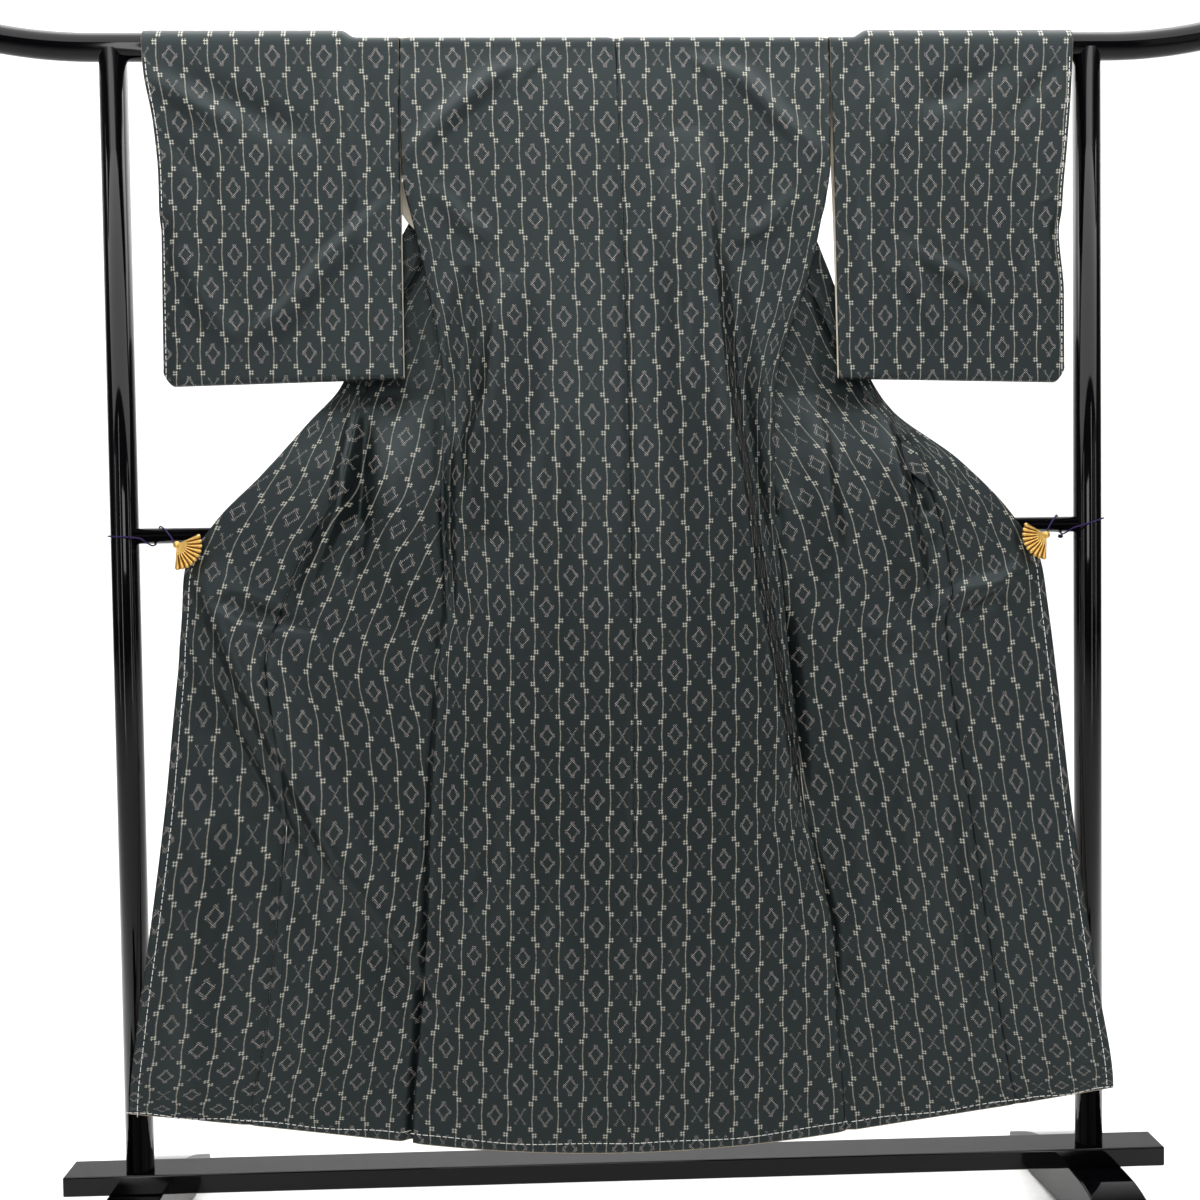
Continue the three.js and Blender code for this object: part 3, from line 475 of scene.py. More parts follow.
class Graph:
    """A short way to write a material's nodes."""

    def __init__(self, name):
        self.material = bpy.data.materials.new(name)
        self.material.use_nodes = True
        self.tree = self.material.node_tree
        self.tree.nodes.clear()
        self.shader = self.node("ShaderNodeBsdfPrincipled")
        output = self.node("ShaderNodeOutputMaterial")
        self.link(self.shader.outputs[0], output.inputs["Surface"])

    def node(self, kind, **settings):
        made = self.tree.nodes.new(kind)
        for key, value in settings.items():
            setattr(made, key, value)
        return made

    def link(self, source, target):
        self.tree.links.new(source, target)

    def give(self, socket, value):
        """Links a socket, or sets its value."""
        if isinstance(value, bpy.types.NodeSocket):
            self.link(value, socket)
        else:
            socket.default_value = value

    def math(self, operation, *values, clamp=False):
        made = self.node("ShaderNodeMath", operation=operation, use_clamp=clamp)
        for socket, value in zip(made.inputs, values):
            self.give(socket, value)
        return made.outputs[0]

    def add(self, a, b):
        return self.math("ADD", a, b)

    def sub(self, a, b):
        return self.math("SUBTRACT", a, b)

    def mul(self, a, b):
        return self.math("MULTIPLY", a, b)

    def most(self, a, b):
        return self.math("MAXIMUM", a, b)

    def size(self, a):
        return self.math("ABSOLUTE", a)

    def near(self, value, target, half, soft):
        """1 within half of the target, falling to 0 over soft."""
        off = self.size(self.sub(value, target))
        return self.math("MULTIPLY_ADD", off, -1.0 / soft, (half + soft / 2) / soft, clamp=True)

    def within(self, value, half, soft=0.4):
        """1 where the absolute value is below half."""
        return self.near(value, 0.0, half, soft)

    def mix(self, factor, a, b):
        """Blends two colours."""
        made = self.node("ShaderNodeMix", data_type="RGBA")
        self.give(made.inputs["Factor"], factor)
        for socket, value in ((made.inputs[6], a), (made.inputs[7], b)):
            if not isinstance(value, bpy.types.NodeSocket):
                value = (*value, 1.0)
            self.give(socket, value)
        return made.outputs[2]

    def noise(self, scale, detail, spread=(0.3, 0.7)):
        """Noise from 0 to 1."""
        made = self.node("ShaderNodeTexNoise")
        made.inputs["Scale"].default_value = scale
        made.inputs["Detail"].default_value = detail
        self.link(self.position(), made.inputs["Vector"])
        ramp = self.node("ShaderNodeMapRange")
        ramp.inputs["From Min"].default_value = spread[0]
        ramp.inputs["From Max"].default_value = spread[1]
        self.link(made.outputs["Fac"], ramp.inputs["Value"])
        return ramp.outputs[0]

    def position(self):
        """Object coordinates."""
        if not hasattr(self, "coordinates"):
            self.coordinates = self.node("ShaderNodeTexCoord")
        return self.coordinates.outputs["Object"]

    def flat(self):
        """Across and drop in the flat cut, in millimetres."""
        uv = self.node("ShaderNodeUVMap", uv_map="Flat")
        parts = self.node("ShaderNodeSeparateXYZ")
        self.link(uv.outputs[0], parts.inputs[0])
        return parts.outputs[0], parts.outputs[1]

    def bump(self, height, distance, strength):
        made = self.node("ShaderNodeBump")
        made.inputs["Distance"].default_value = distance
        made.inputs["Strength"].default_value = strength
        self.give(made.inputs["Height"], height)
        self.link(made.outputs[0], self.shader.inputs["Normal"])

    def put(self, **values):
        """Sets the shader's inputs by name, with underscores for spaces."""
        for key, value in values.items():
            name = key.replace("_", " ")
            if isinstance(value, tuple) and len(value) == 3:
                value = (*value, 1.0)
            self.give(self.shader.inputs[name], value)


def kasuri_mask(g, u, v, shift, flip):
    """The pattern's marks: (stripes, crossed marks, dotted motifs), each 0 to 1."""
    column = g.math("DIVIDE", g.sub(u, shift), STRIPE_PITCH)
    row = g.math("DIVIDE", g.sub(v, FIRST_MARK), MARK_PITCH)
    i = g.math("ROUND", column)
    j = g.math("ROUND", row)
    a = g.mul(g.sub(column, i), STRIPE_PITCH)
    b = g.mul(g.sub(row, j), MARK_PITCH)
    odd = g.math("FLOORED_MODULO", g.add(g.add(i, j), float(flip)), 2.0)
    way = g.math("MULTIPLY_ADD", odd, -2.0, 1.0)
    lean = g.mul(g.mul(b, way), STRIPE_LEAN)
    stripe = g.mul(g.within(g.sub(a, lean), STRIPE_HALF, 0.6), g.sub(1.0, g.within(b, 1.0, 1.0)))
    marks = None
    for s in (1.0, -1.0):
        x = g.sub(a, g.mul(way, MARK_PLACE[0] * s))
        y = g.add(b, MARK_PLACE[1] * s)
        box = g.mul(g.within(x, MARK_HALF, 0.3), g.within(y, MARK_HALF, 0.3))
        threads = g.most(g.near(g.size(x), MARK_THREAD, 0.35, 0.3),
                         g.near(g.size(y), MARK_THREAD, 0.35, 0.3))
        one = g.mul(box, threads)
        marks = one if marks is None else g.most(marks, one)
    column2 = g.math("FLOOR", column)
    row2 = g.math("FLOOR", row)
    c = g.mul(g.sub(g.sub(column, column2), 0.5), STRIPE_PITCH)
    d = g.mul(g.sub(g.sub(row, row2), 0.5), MARK_PITCH)
    which = g.math("FLOORED_MODULO", g.add(g.add(column2, row2), float(flip)), 2.0)
    ac, ad = g.size(c), g.size(d)
    diamond_size = g.add(g.math("DIVIDE", ac, DIAMOND_HALF[0]), g.math("DIVIDE", ad, DIAMOND_HALF[1]))
    diamond = g.near(diamond_size, 1.0, 0.2, 0.1)
    tips = g.most(
        g.mul(g.near(ad, 12.0, 2.0, 0.4), g.near(ac, 0.0, 2.8, 0.4)),
        g.mul(g.near(ac, 8.8, 1.6, 0.4), g.near(ad, 0.0, 3.0, 0.4)))
    diamond = g.most(diamond, tips)
    slope = g.sub(g.math("DIVIDE", ac, CROSS_SLOPE[0]), g.math("DIVIDE", ad, CROSS_SLOPE[1]))
    cross = g.mul(g.near(slope, 0.0, 0.16, 0.1), g.within(d, CROSS_HALF))
    ends = g.mul(g.near(ac, 6.2, 1.9, 0.4), g.near(ad, 10.0, 1.7, 0.4))
    cross = g.most(cross, ends)
    motif = g.add(g.mul(diamond, g.sub(1.0, which)), g.mul(cross, g.mul(which, 0.75)))
    dot_u = g.math("PINGPONG", g.add(u, v), DOT_PITCH)
    dot_v = g.math("PINGPONG", g.sub(u, v), DOT_PITCH)
    dots = g.mul(g.math("GREATER_THAN", dot_u, DOT_LIMIT), g.math("GREATER_THAN", dot_v, DOT_LIMIT))
    return stripe, marks, g.mul(motif, dots)


# Places across each panel where painted shade draws a dark line along a seam or its turned allowance,
# standing in for the shadow in the seam's groove.
SEAM_SHADE_LINES = {
    "back": (0.0, BACK_WIDTH), "front": (0.0, FRONT_WIDTH - 14, FRONT_WIDTH), "okumi": (0.0,),
    "sleeve": (), "collar": (),
}


def silk_material(name, panel, look):
    """Dark silk with the woven pattern, set out from the panel's own first stripe."""
    shift, flip = PANEL_STRIPES[panel]
    g = Graph(name)
    u, v = g.flat()
    stripe, marks, motif = kasuri_mask(g, u, v, shift, flip)
    cloudy = g.noise(7.0, 3.0)
    ground = g.mix(cloudy, tuple(c * 0.86 for c in look.silk), tuple(c * 1.14 for c in look.silk))
    grain = g.noise(900.0, 1.0, spread=(0.25, 0.75))
    ground = g.mix(g.mul(grain, 0.32), ground, tuple(c * 2.4 for c in look.silk))
    worn = g.noise(420.0, 2.0, spread=(0.2, 0.6))
    colour = g.mix(g.mul(g.mul(motif, worn), look.motif_strength), ground, look.motif)
    colour = g.mix(g.mul(g.mul(stripe, worn), look.stripe_strength), colour, look.stripe)
    colour = g.mix(g.mul(marks, look.mark_strength), colour, look.mark)
    # Painted shade: a dark line at each seam place, for the shadow in the seam's groove.
    for place in SEAM_SHADE_LINES[panel.split("_")[0]]:
        colour = g.mix(g.mul(g.near(u, place, 0.7, 0.8), 0.85), colour, tuple(c * 0.12 for c in look.silk))
    g.put(Base_Color=colour, Roughness=look.roughness, Sheen_Weight=look.sheen, Sheen_Roughness=0.4)
    g.shader.inputs["Specular IOR Level"].default_value = SILK_SPECULAR
    g.shader.inputs["Specular Tint"].default_value = SILK_TINT
    weave = g.noise(1400.0, 2.0)
    g.bump(g.add(g.mul(weave, 0.5), g.mul(g.noise(60.0, 2.0), 0.5)), 0.0004, 0.35)
    return g.material


def plain_material(name, colour, roughness, metallic=0.0, sheen=0.0, grain=0.0, specular=0.5):
    """A plain surface with an optional fine grain."""
    g = Graph(name)
    darker, lighter = tuple(c * 0.96 for c in colour), tuple(min(1.0, c * 1.03) for c in colour)
    tint = g.mix(g.noise(40.0, 3.0), darker, lighter)
    g.put(Base_Color=tint, Roughness=roughness, Metallic=metallic, Sheen_Weight=sheen)
    g.shader.inputs["Specular IOR Level"].default_value = specular
    if grain:
        g.bump(g.noise(900.0, 2.0), grain, 0.5)
    return g.material


# ---- Cloth pieces ----

Level = namedtuple("Level", "start seam edge width okumi turn edge_height")


def front_level(side, drop):
    """How one level of a front runs: in behind the back from the side seam, round a turn, and out."""
    edge_height = along(EDGE_HEIGHT, drop)
    side_height = height_at(drop, SIDE_LIFT)
    start = along(SIDE_SEAM[side], side_height) + spread_at_opening(side, side_height)
    edge = along(FRONT_EDGE[side], edge_height)
    width = BACK_WIDTH - NECK_HALF + (FRONT_WIDTH - BACK_WIDTH + NECK_HALF) * unit(drop / OKUMI_TIP)
    okumi = OKUMI_WIDTH * unit((drop - OKUMI_TIP) / (COLLAR_END - OKUMI_TIP))
    okumi_seam = along(OKUMI_SEAM[side], height_at(drop, OKUMI_LIFT))
    seam = np.where(okumi > 0, np.minimum(okumi_seam, edge - 2), edge)
    turn = np.maximum(4.0, (width - (seam - start)) / 2)
    return Level(start, seam, edge, width, okumi, turn, edge_height)


def spread_at_opening(side, z):
    """How far a front's edge stands out beyond the back's along the opening under the sleeve."""
    k = unit((OPENING_SPREAD_TOP - z) / (OPENING_SPREAD_TOP - OPENING_SPREAD_FOOT))
    return OPENING_SPREAD[side] * np.sin(math.pi * k) ** 0.8


def shown_depth(x, z):
    """Depth of the layer of a front that shows, before it is kept clear of the crossbar."""
    return along(OUTER_LAYER, z) - smooth((1240 - z) / 60) * skirt_relief(x, z)


def front_points(side, drop, flat):
    """Points of a front or okumi by arrays of drop and of flat distance from the side seam."""
    start, seam, edge, width, okumi, turn, edge_height = front_level(side, drop)

    def path(w):
        return start + np.hypot(w - turn, TURN_RADIUS) - np.hypot(turn, TURN_RADIUS)

    out = path(flat) + (seam - path(width)) * flat / width
    beyond = seam + (edge - seam) * (flat - width) / np.maximum(okumi, 1e-6)
    out = np.where(flat > width, beyond, out)
    x = CENTRE + sign(side) * out
    z0 = height_at(drop, SIDE_LIFT)
    z = z0 + (edge_height - z0) * unit((flat - turn) / np.maximum(1.0, width + okumi - turn))
    behind = back_depth(x, z0) + SEAM_STEP + LAYER_STEP * smooth(flat / 14) * smooth((turn - 3) / 8)
    inner = np.where(drop < OPENING_END, along(INNER_LAYER, z0), behind)
    hidden = np.maximum(along(OUTER_LAYER, z), inner + 3.3 * smooth((turn - 3) / 8))
    passed = smooth((flat - turn) / 14 + 0.5)
    shown = smooth((flat - 2 * turn - 1) / 18)
    y = inner + (hidden - inner) * passed
    y = clear_of_bar(y + (shown_depth(x, z) - y) * shown, z)
    y1, z1 = over_crown(drop, 1)
    top = drop < WRAP
    return np.stack([x, np.where(top, y1, y), np.where(top, z1, z)], -1)


def rounded_borders(grid, outward, first, last):
    """Lets a sewn border sink a little, as the cloth rolls into its seam."""
    normal = grid_normals(grid, False) * outward
    span = np.cumsum(np.linalg.norm(np.diff(grid, axis=1, prepend=grid[:, :1]), axis=2), axis=1)
    sink = np.zeros(span.shape)
    if first:
        sink += np.exp(-((span / ROLL_REACH) ** 2))
    if last:
        sink += np.exp(-(((span[:, -1:] - span) / ROLL_REACH) ** 2))
    return grid - normal * (sink * ROLL_DEPTH)[..., None]


def body_drops(step, start=GAP / 2):
    """Drops of a panel's rows: close together over the rail."""
    return np.concatenate([np.arange(start, 60, 3.0), np.linspace(60, LENGTH, int((LENGTH - 60) / step) + 1)])


def arc_flat(grid, drops, width):
    """Flat places by length along each row, eased near its far border to meet the cut's width."""
    steps = np.linalg.norm(np.diff(grid[..., :2], axis=1, prepend=grid[:, :1, :2]), axis=2)
    arc = np.cumsum(steps, axis=1)
    total = arc[:, -1:]
    across = arc + (width - total) * (arc / total) ** 6
    return np.stack([across, np.repeat(drops[:, None], grid.shape[1], 1)], -1)


def back_grid(side, step):
    """Points and flat places of a back panel."""
    drops = body_drops(step)
    k = np.linspace(GAP / 2 / BACK_WIDTH, 1 - GAP / 2 / BACK_WIDTH, int(BACK_WIDTH / step * 1.3))
    drop, across = np.meshgrid(drops, k, indexing="ij")
    z = height_at(drop, SIDE_LIFT * across**2)
    edge = along(SIDE_SEAM[side], height_at(drop, SIDE_LIFT))
    middle = centre_x(z)
    x = middle + (CENTRE + sign(side) * edge - middle) * across
    y = back_depth(x, z)
    y1, z1 = over_crown(drop, -1)
    top = drop < WRAP
    grid = np.stack([x, np.where(top, y1, y), np.where(top, z1, z)], -1)
    return rounded_borders(grid, sign(side), True, True), arc_flat(grid, drops, BACK_WIDTH)


def front_grid(side, step):
    """Points and flat places of a front panel."""
    drops = body_drops(step)
    count = int(FRONT_WIDTH / step * 1.3)
    level = front_level(side, drops)
    rows = []
    for w, t in zip(level.width, level.turn):
        near = np.linspace(max(1.0, t - 9), min(w - 1.0, t + 9), 8)
        before = np.linspace(GAP / 2, max(1.0, t - 9), count // 3, endpoint=False)
        rows.append(np.concatenate([before, near, np.linspace(near[-1], w - GAP / 2, count)[1:]]))
    flat = np.array(rows)
    drop = np.repeat(drops[:, None], flat.shape[1], 1)
    grid = front_points(side, drop, flat)
    return rounded_borders(grid, sign(side), False, True), np.stack([flat, drop], -1)


def okumi_grid(side, step):
    """Points and flat places of an okumi, the narrow panel at a front's edge."""
    drops = body_drops(step, OKUMI_TIP + 26)
    drops = drops[drops > OKUMI_TIP + 20]
    k = np.linspace(0, 1, int(OKUMI_WIDTH / step * 1.3))
    level = front_level(side, drops)
    flat = level.width[:, None] + GAP / 2 + k[None, :] * (level.okumi[:, None] - GAP / 2)
    drop = np.repeat(drops[:, None], len(k), 1)
    grid = front_points(side, drop, flat)
    return rounded_borders(grid, sign(side), True, False), np.stack([flat - level.width[:, None], drop], -1)


def collar_grid(step):
    """Points and flat places of the collar, one ribbon from clip to clip round the neck."""
    distance = np.linspace(0, COLLAR_WIDTH, 22)
    down = np.concatenate([np.arange(COLLAR_END - COLLAR_CLIP_ROOM, 60, -step * 1.4),
                           np.arange(60, 0.5, -3.0)])

    def slope(side):
        drop, d = np.meshgrid(down, distance, indexing="ij")
        level = front_level(side, drop)
        lean = 0.95 * smooth(drop / 260)
        corner = (COLLAR_CORNER - COLLAR_SEAM) * (1 - smooth(drop / WRAP))
        x = CENTRE + sign(side) * (level.edge - COLLAR_SEAM - d * np.sin(lean) - corner)
        place = drop + d * np.cos(lean)
        z = np.minimum(RAIL_HEIGHT, level.edge_height + np.maximum(0, WRAP - drop) - d * np.cos(lean))
        crown = CROWN_RADIUS + 1 + 4 * smooth((place - WRAP) / 20)
        depth = clear_of_bar(along(OUTER_LAYER, z) + COLLAR_STEP, z)
        y = crown + (depth - crown) * smooth((drop - WRAP) / 50)
        y1, z1 = over_crown(place, 1, 1.0)
        top = place < WRAP
        return np.stack([x, np.where(top, y1, y), np.where(top, z1, z)], -1)

    left, right = slope("left"), slope("right")[::-1]
    neck = [left[-1] + (right[0] - left[-1]) * k for k in np.linspace(0, 1, 30)[1:-1]]
    grid = np.concatenate([left, np.array(neck), right])
    run = np.cumsum(np.linalg.norm(np.diff(grid[:, 10], axis=0, prepend=grid[:1, 10]), axis=1))
    flat = np.stack(np.broadcast_arrays(distance[None, :], run[:, None]), -1)
    return grid, flat.copy()


def sleeve_grid(side, step):
    """Points and flat places of a sleeve: closed sections from its open inner edge to the cuff."""
    seam_x, cuff_x = SLEEVE_SEAM_X[side], float(along(CUFF_EDGE[side], 1697))
    inner_bottom, cuff_bottom = SLEEVE_BOTTOM[side]
    outs = np.concatenate([np.linspace(seam_x, cuff_x - 24, int((cuff_x - seam_x) / step)),
                           np.linspace(cuff_x - 22, cuff_x, 12)])
    levels = np.concatenate([[0.012], np.linspace(0.03, 0.97, int(SLEEVE_DEPTH / step)), [0.985, 0.995]])
    rows, flats = [], []
    for out in outs:
        k = (out - seam_x) / (cuff_x - seam_x)
        wide = smooth((out - RAIL_JOINT + 26) / 20)
        radius = CROWN_RADIUS + (TUBE_RADIUS - RAIL_MIDDLE_RADIUS + 0.4) * wide
        corner = SLEEVE_CORNER * max(0.0, (k - 0.95) / 0.05) ** 2
        bottom = inner_bottom + k * (cuff_bottom - inner_bottom) + corner
        closing = smooth((k - 0.93) / 0.07)

        def x_at(z):
            inner = seam_x + GAP / 2 + SLEEVE_DRIFT[side] * (RAIL_HEIGHT - z) / SLEEVE_DEPTH
            return sign(side) * (inner + k * (along(CUFF_EDGE[side], z) - inner))

        def layer(face):
            z = RAIL_HEIGHT - levels * (RAIL_HEIGHT - bottom)
            x = x_at(z)
            ease = smooth(levels * 6)
            middle = -9 * smooth(levels * 1.6)
            opened = radius + (4.5 - radius) * smooth(levels * 1.05)
            sewn = closing * smooth((RAIL_HEIGHT - z - CUFF_OPENING) / 30)
            folds = relief(SLEEVE_FOLDS[side] + (SLEEVE_CREASES[side] if face < 0 else []), x, z)
            folds = folds * ease * (1.0 if face < 0 else 0.5) * (1 - sewn)
            return np.stack([x, middle + face * (opened + (1.6 - opened) * sewn) - folds, z], -1)

        angle = np.linspace(-math.pi / 2, math.pi / 2, 15)
        z = RAIL_HEIGHT + radius * np.cos(angle)
        crown = np.stack([x_at(z), radius * np.sin(angle), z], -1)
        tip = np.array([[float(x_at(bottom)), -9.0, bottom]])
        loop = np.concatenate([layer(-1)[::-1], crown, layer(1), tip])
        rows.append(loop)
        over = np.abs(angle) * CROWN_RADIUS
        below = WRAP + levels * (RAIL_HEIGHT - bottom)
        drops = np.concatenate([below[::-1], over, below, [WRAP + RAIL_HEIGHT - bottom]])
        flats.append(np.stack([np.full(len(loop), out - seam_x), drops], -1))
    return np.array(rows), np.array(flats)


# ---- Settings ----

def number(name, description, default):
    """A setting that holds one number."""
    return bpy.props.FloatProperty(name=name, description=description, default=default)


def colour(name, description, default):
    """A setting that holds a colour."""
    return bpy.props.FloatVectorProperty(name=name, description=description, default=default)


class ClothSettings(bpy.types.PropertyGroup):
    """The kimono's cloth."""
    step: number("Grid step", "Spacing of the cloth's points in mm", 4.8)
    thickness: number("Thickness", "Silk and lining together, mm", 1.6)
    lip: number("Hem lip", "How far the lining shows below the hem, mm", 1.6)
    silk: colour("Silk", "Ground colour", (0.0034, 0.0050, 0.0053))
    stripe: colour("Stripe", "Stripe colour", (0.30, 0.28, 0.235))
    mark: colour("Marks", "Crossed marks' colour", (0.55, 0.53, 0.45))
    motif: colour("Motifs", "Dotted motifs' colour", (0.56, 0.50, 0.46))
    stripe_strength: number("Stripe strength", "Cover of the stripes", 0.72)
    mark_strength: number("Mark strength", "Cover of the marks", 0.75)
    motif_strength: number("Motif strength", "Cover of the motifs", 0.8)
    roughness: number("Roughness", "Of the silk", 0.4)
    sheen: number("Sheen", "Of the silk", 0.0)


class StitchSettings(bpy.types.PropertyGroup):
    """The white basting thread."""
    spacing: number("Spacing", "From stitch to stitch, mm", 9.0)
    length: number("Length", "Of one stitch, mm", 7.0)
    radius: number("Radius", "Of the thread, mm", 0.45)
    inset: number("Inset", "From the hem, mm", 13.0)


class StandSettings(bpy.types.PropertyGroup):
    """The lacquered stand."""
    sides: bpy.props.IntProperty(name="Sides", description="Of its tubes", default=64)
    bevel: number("Bevel", "Of the beam's and feet's edges, mm", 2.5)


class StageSettings(bpy.types.PropertyGroup):
    """Floor, light and camera."""
    lens: number("Lens", "Focal length in mm", 40.3)
    key: number("Key", "Power of the main soft light", 19.0)
    fill: number("Fill", "Power of the second soft light", 4.0)
    sweep: number("Sweep", "Power of the backdrop's light", 260.0)
    strip: number("Strips", "Power of each narrow light", 6.0)
    world: number("World", "Strength of the surroundings", 0.05)


def silk_set(panel, look):
    """Materials of one cloth piece: silk, lining and the border's facing."""
    ready = bpy.data.materials.get
    lining = ready("Lining") or plain_material("Lining", (0.72, 0.66, 0.55), 0.6, sheen=0.1, grain=0.0003)
    facing = ready("Facing") or plain_material("Facing", (0.42, 0.35, 0.24), 0.65, grain=0.0003)
    return [silk_material(f"Silk {panel}", panel, look), lining, facing]


def join(obj, node):
    """Joins a piece to the stand's body and hides the node it replaces."""
    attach(obj, "root")
    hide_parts(node)


def declare_cloth(obj, node):
    """Joins a cloth piece to the stand's body and hides the node it replaces."""
    join(obj, node)


# ---- Operators ----

class KIMONO_OT_camera(bpy.types.Operator):
    """Sets the camera at the stand's front, slightly to the left"""
    bl_idname = "kimono.camera"
    bl_label = "Camera"

    def execute(self, context):
        data = bpy.data.cameras.new("Camera")
        data.lens = context.scene.kimono_stage.lens
        data.sensor_width = 36
        camera = bpy.data.objects.new("Camera", data)
        ahead = Vector((0.03288, 0.99896, -0.03172))
        right = Vector((0.99935, -0.03333, -0.01359))
        up = right.cross(ahead)
        basis = Matrix((right, up, -ahead)).transposed()
        camera.matrix_world = Matrix.Translation(Vector((-80.4, -1897.6, 964.8)) * MM) @ basis.to_4x4()
        context.scene.collection.objects.link(camera)
        context.scene.camera = camera
        return {"FINISHED"}


class KIMONO_OT_cords(bpy.types.Operator):
    """Ties a dark silk cord from each clip over the crossbar and round its post"""
    bl_idname = "kimono.cords"
    bl_label = "Cords"

    def execute(self, context):
        thread = plain_material("Cord silk", (0.013, 0.0025, 0.05), 0.6, grain=0.0004, specular=0.2)
        for side in SIDES:
            path = curve_points(CORD_ROUTES[side], 150)
            cord = tube(f"cord_{side}_silk", path, CORD_DIAMETER / 2, 12, thread)
            knot = make_knot(f"cord_knot_{side}_silk", path[-1], thread)
            join(cord, f"cord_{side}")
            join(knot, f"cord_knot_{side}")
        return {"FINISHED"}


def make_knot(name, end, material):
    """A small round knot: two turns of cord round its centre."""
    centre = np.array(end) + np.array((0.0, 0.0, -KNOT_DROP))
    turns = np.linspace(0, 1, 90)
    wind = turns * 2 * math.pi
    swell = 1 + 0.3 * np.cos(2 * wind)
    path = centre + np.stack([2.0 * np.cos(3 * wind) * swell, 2.0 * np.sin(3 * wind) * swell,
                              1.6 * np.sin(2 * wind)], -1)
    return tube(name, path, 1.25, 10, material)


class KIMONO_OT_panels(bpy.types.Operator):
    """Hangs the backs, fronts and okumi"""
    bl_idname = "kimono.panels"
    bl_label = "Body panels"

    def execute(self, context):
        look = context.scene.kimono_cloth
        kinds = (("body_back", "back", back_grid, BACK_WIDTH, LENGTH, None),
                 ("body_front", "front", front_grid, FRONT_WIDTH, LENGTH, None),
                 ("okumi", "okumi", okumi_grid, OKUMI_WIDTH, LENGTH - OKUMI_TIP, 0.155))
        for side in SIDES:
            for node, panel, make, width, length, area in kinds:
                grid, flat = make(side, look.step)
                materials = silk_set(f"{panel}_{side}", look)
                obj = cloth_shell(f"{node}_{side}_silk", grid, flat, sign(side), materials,
                                  thickness=look.thickness, lip=look.lip)
                declare_cloth(obj, f"{node}_{side}")
        return {"FINISHED"}


class KIMONO_OT_sleeves(bpy.types.Operator):
    """Hangs the two sleeves over the rail"""
    bl_idname = "kimono.sleeves"
    bl_label = "Sleeves"

    def execute(self, context):
        look = context.scene.kimono_cloth
        for side in SIDES:
            grid, flat = sleeve_grid(side, look.step)
            materials = silk_set(f"sleeve_{side}", look)
            obj = cloth_shell(f"sleeve_{side}_silk", grid, flat, sign(side), materials, ring=True,
                              thickness=look.thickness, lip=0.8)
            declare_cloth(obj, f"sleeve_{side}")
        return {"FINISHED"}


class KIMONO_OT_collar(bpy.types.Operator):
    """Lays the collar along both front edges and round the neck"""
    bl_idname = "kimono.collar"
    bl_label = "Collar"

    def execute(self, context):
        look = context.scene.kimono_cloth
        grid, flat = collar_grid(look.step)
        silk = silk_material("Silk collar", "collar", look)
        obj = cloth_shell("collar_silk", grid, flat, 1, [silk, silk, silk], thickness=look.thickness)
        declare_cloth(obj, "collar")
        return {"FINISHED"}


def stitch_nodes():
    """Geometry nodes that set thread capsules along a line, each turned along it."""
    tree = bpy.data.node_groups.new("Basting", "GeometryNodeTree")
    face = tree.interface
    face.new_socket("Geometry", in_out="INPUT", socket_type="NodeSocketGeometry")
    for name in ("Spacing", "Length", "Radius"):
        face.new_socket(name, in_out="INPUT", socket_type="NodeSocketFloat")
    face.new_socket("Thread", in_out="INPUT", socket_type="NodeSocketMaterial")
    face.new_socket("Geometry", in_out="OUTPUT", socket_type="NodeSocketGeometry")
    nodes, link = tree.nodes, tree.links.new
    source = nodes.new("NodeGroupInput")
    result = nodes.new("NodeGroupOutput")
    to_curve = nodes.new("GeometryNodeMeshToCurve")
    to_points = nodes.new("GeometryNodeCurveToPoints")
    to_points.mode = "LENGTH"
    thread = nodes.new("GeometryNodeMeshCylinder")
    thread.inputs["Vertices"].default_value = 6
    lay = nodes.new("GeometryNodeInstanceOnPoints")
    jitter = nodes.new("FunctionNodeRandomValue")
    jitter.data_type = "FLOAT_VECTOR"
    jitter.inputs[0].default_value = (0.9, 0.9, 0.75)
    jitter.inputs[1].default_value = (1.1, 1.1, 1.15)
    real = nodes.new("GeometryNodeRealizeInstances")
    paint = nodes.new("GeometryNodeSetMaterial")
    align = nodes.new("FunctionNodeAlignEulerToVector")
    align.axis = "Z"
    for giver, output, taker, socket in (
            (source, "Geometry", to_curve, "Mesh"), (to_curve, "Curve", to_points, "Curve"),
            (source, "Spacing", to_points, "Length"), (source, "Length", thread, "Depth"),
            (source, "Radius", thread, "Radius"), (to_points, "Points", lay, "Points"),
            (to_points, "Tangent", align, "Vector"), (align, "Rotation", lay, "Rotation"),
            (thread, "Mesh", lay, "Instance"), (jitter, 0, lay, "Scale"),
            (lay, "Instances", real, "Geometry"), (real, "Geometry", paint, "Geometry"),
            (source, "Thread", paint, "Material"), (paint, "Geometry", result, "Geometry")):
        link(giver.outputs[output], taker.inputs[socket])
    return tree


def basting_lines(look, inset):
    """Lines of the basting on each side, as points just off the silk."""
    off = look.thickness / 2 + STITCH_OFFSET
    lines = {}
    for side in SIDES:
        lines[side] = []
        for make in (back_grid, front_grid, okumi_grid):
            grid, flat = make(side, BASTING_GRID_STEP)
            outer = grid + grid_normals(grid, False) * sign(side) * off
            row = int(np.argmin(np.abs(flat[:, 0, 1] - (LENGTH - inset))))
            run = outer[row]
            if make is front_grid:
                turn = front_level(side, np.array([LENGTH - inset])).turn[0]
                run = run[flat[row, :, 0] > 2 * turn + 6]
            wobble = 1.6 * np.sin(np.linspace(0, 9, len(run)))
            lines[side].append(run + np.stack([0 * wobble, 0 * wobble, wobble], -1))
        start = int(np.argmin(np.abs(flat[:, 0, 1] - EDGE_BASTING_START)))
        lines[side].append(outer[start:, -2])
        grid, _ = sleeve_grid(side, BASTING_GRID_STEP)
        outer = grid + grid_normals(grid, True) * sign(side) * off
        lines[side].append(outer[-3, :int(outer.shape[1] * 0.42)][::2])
    return lines


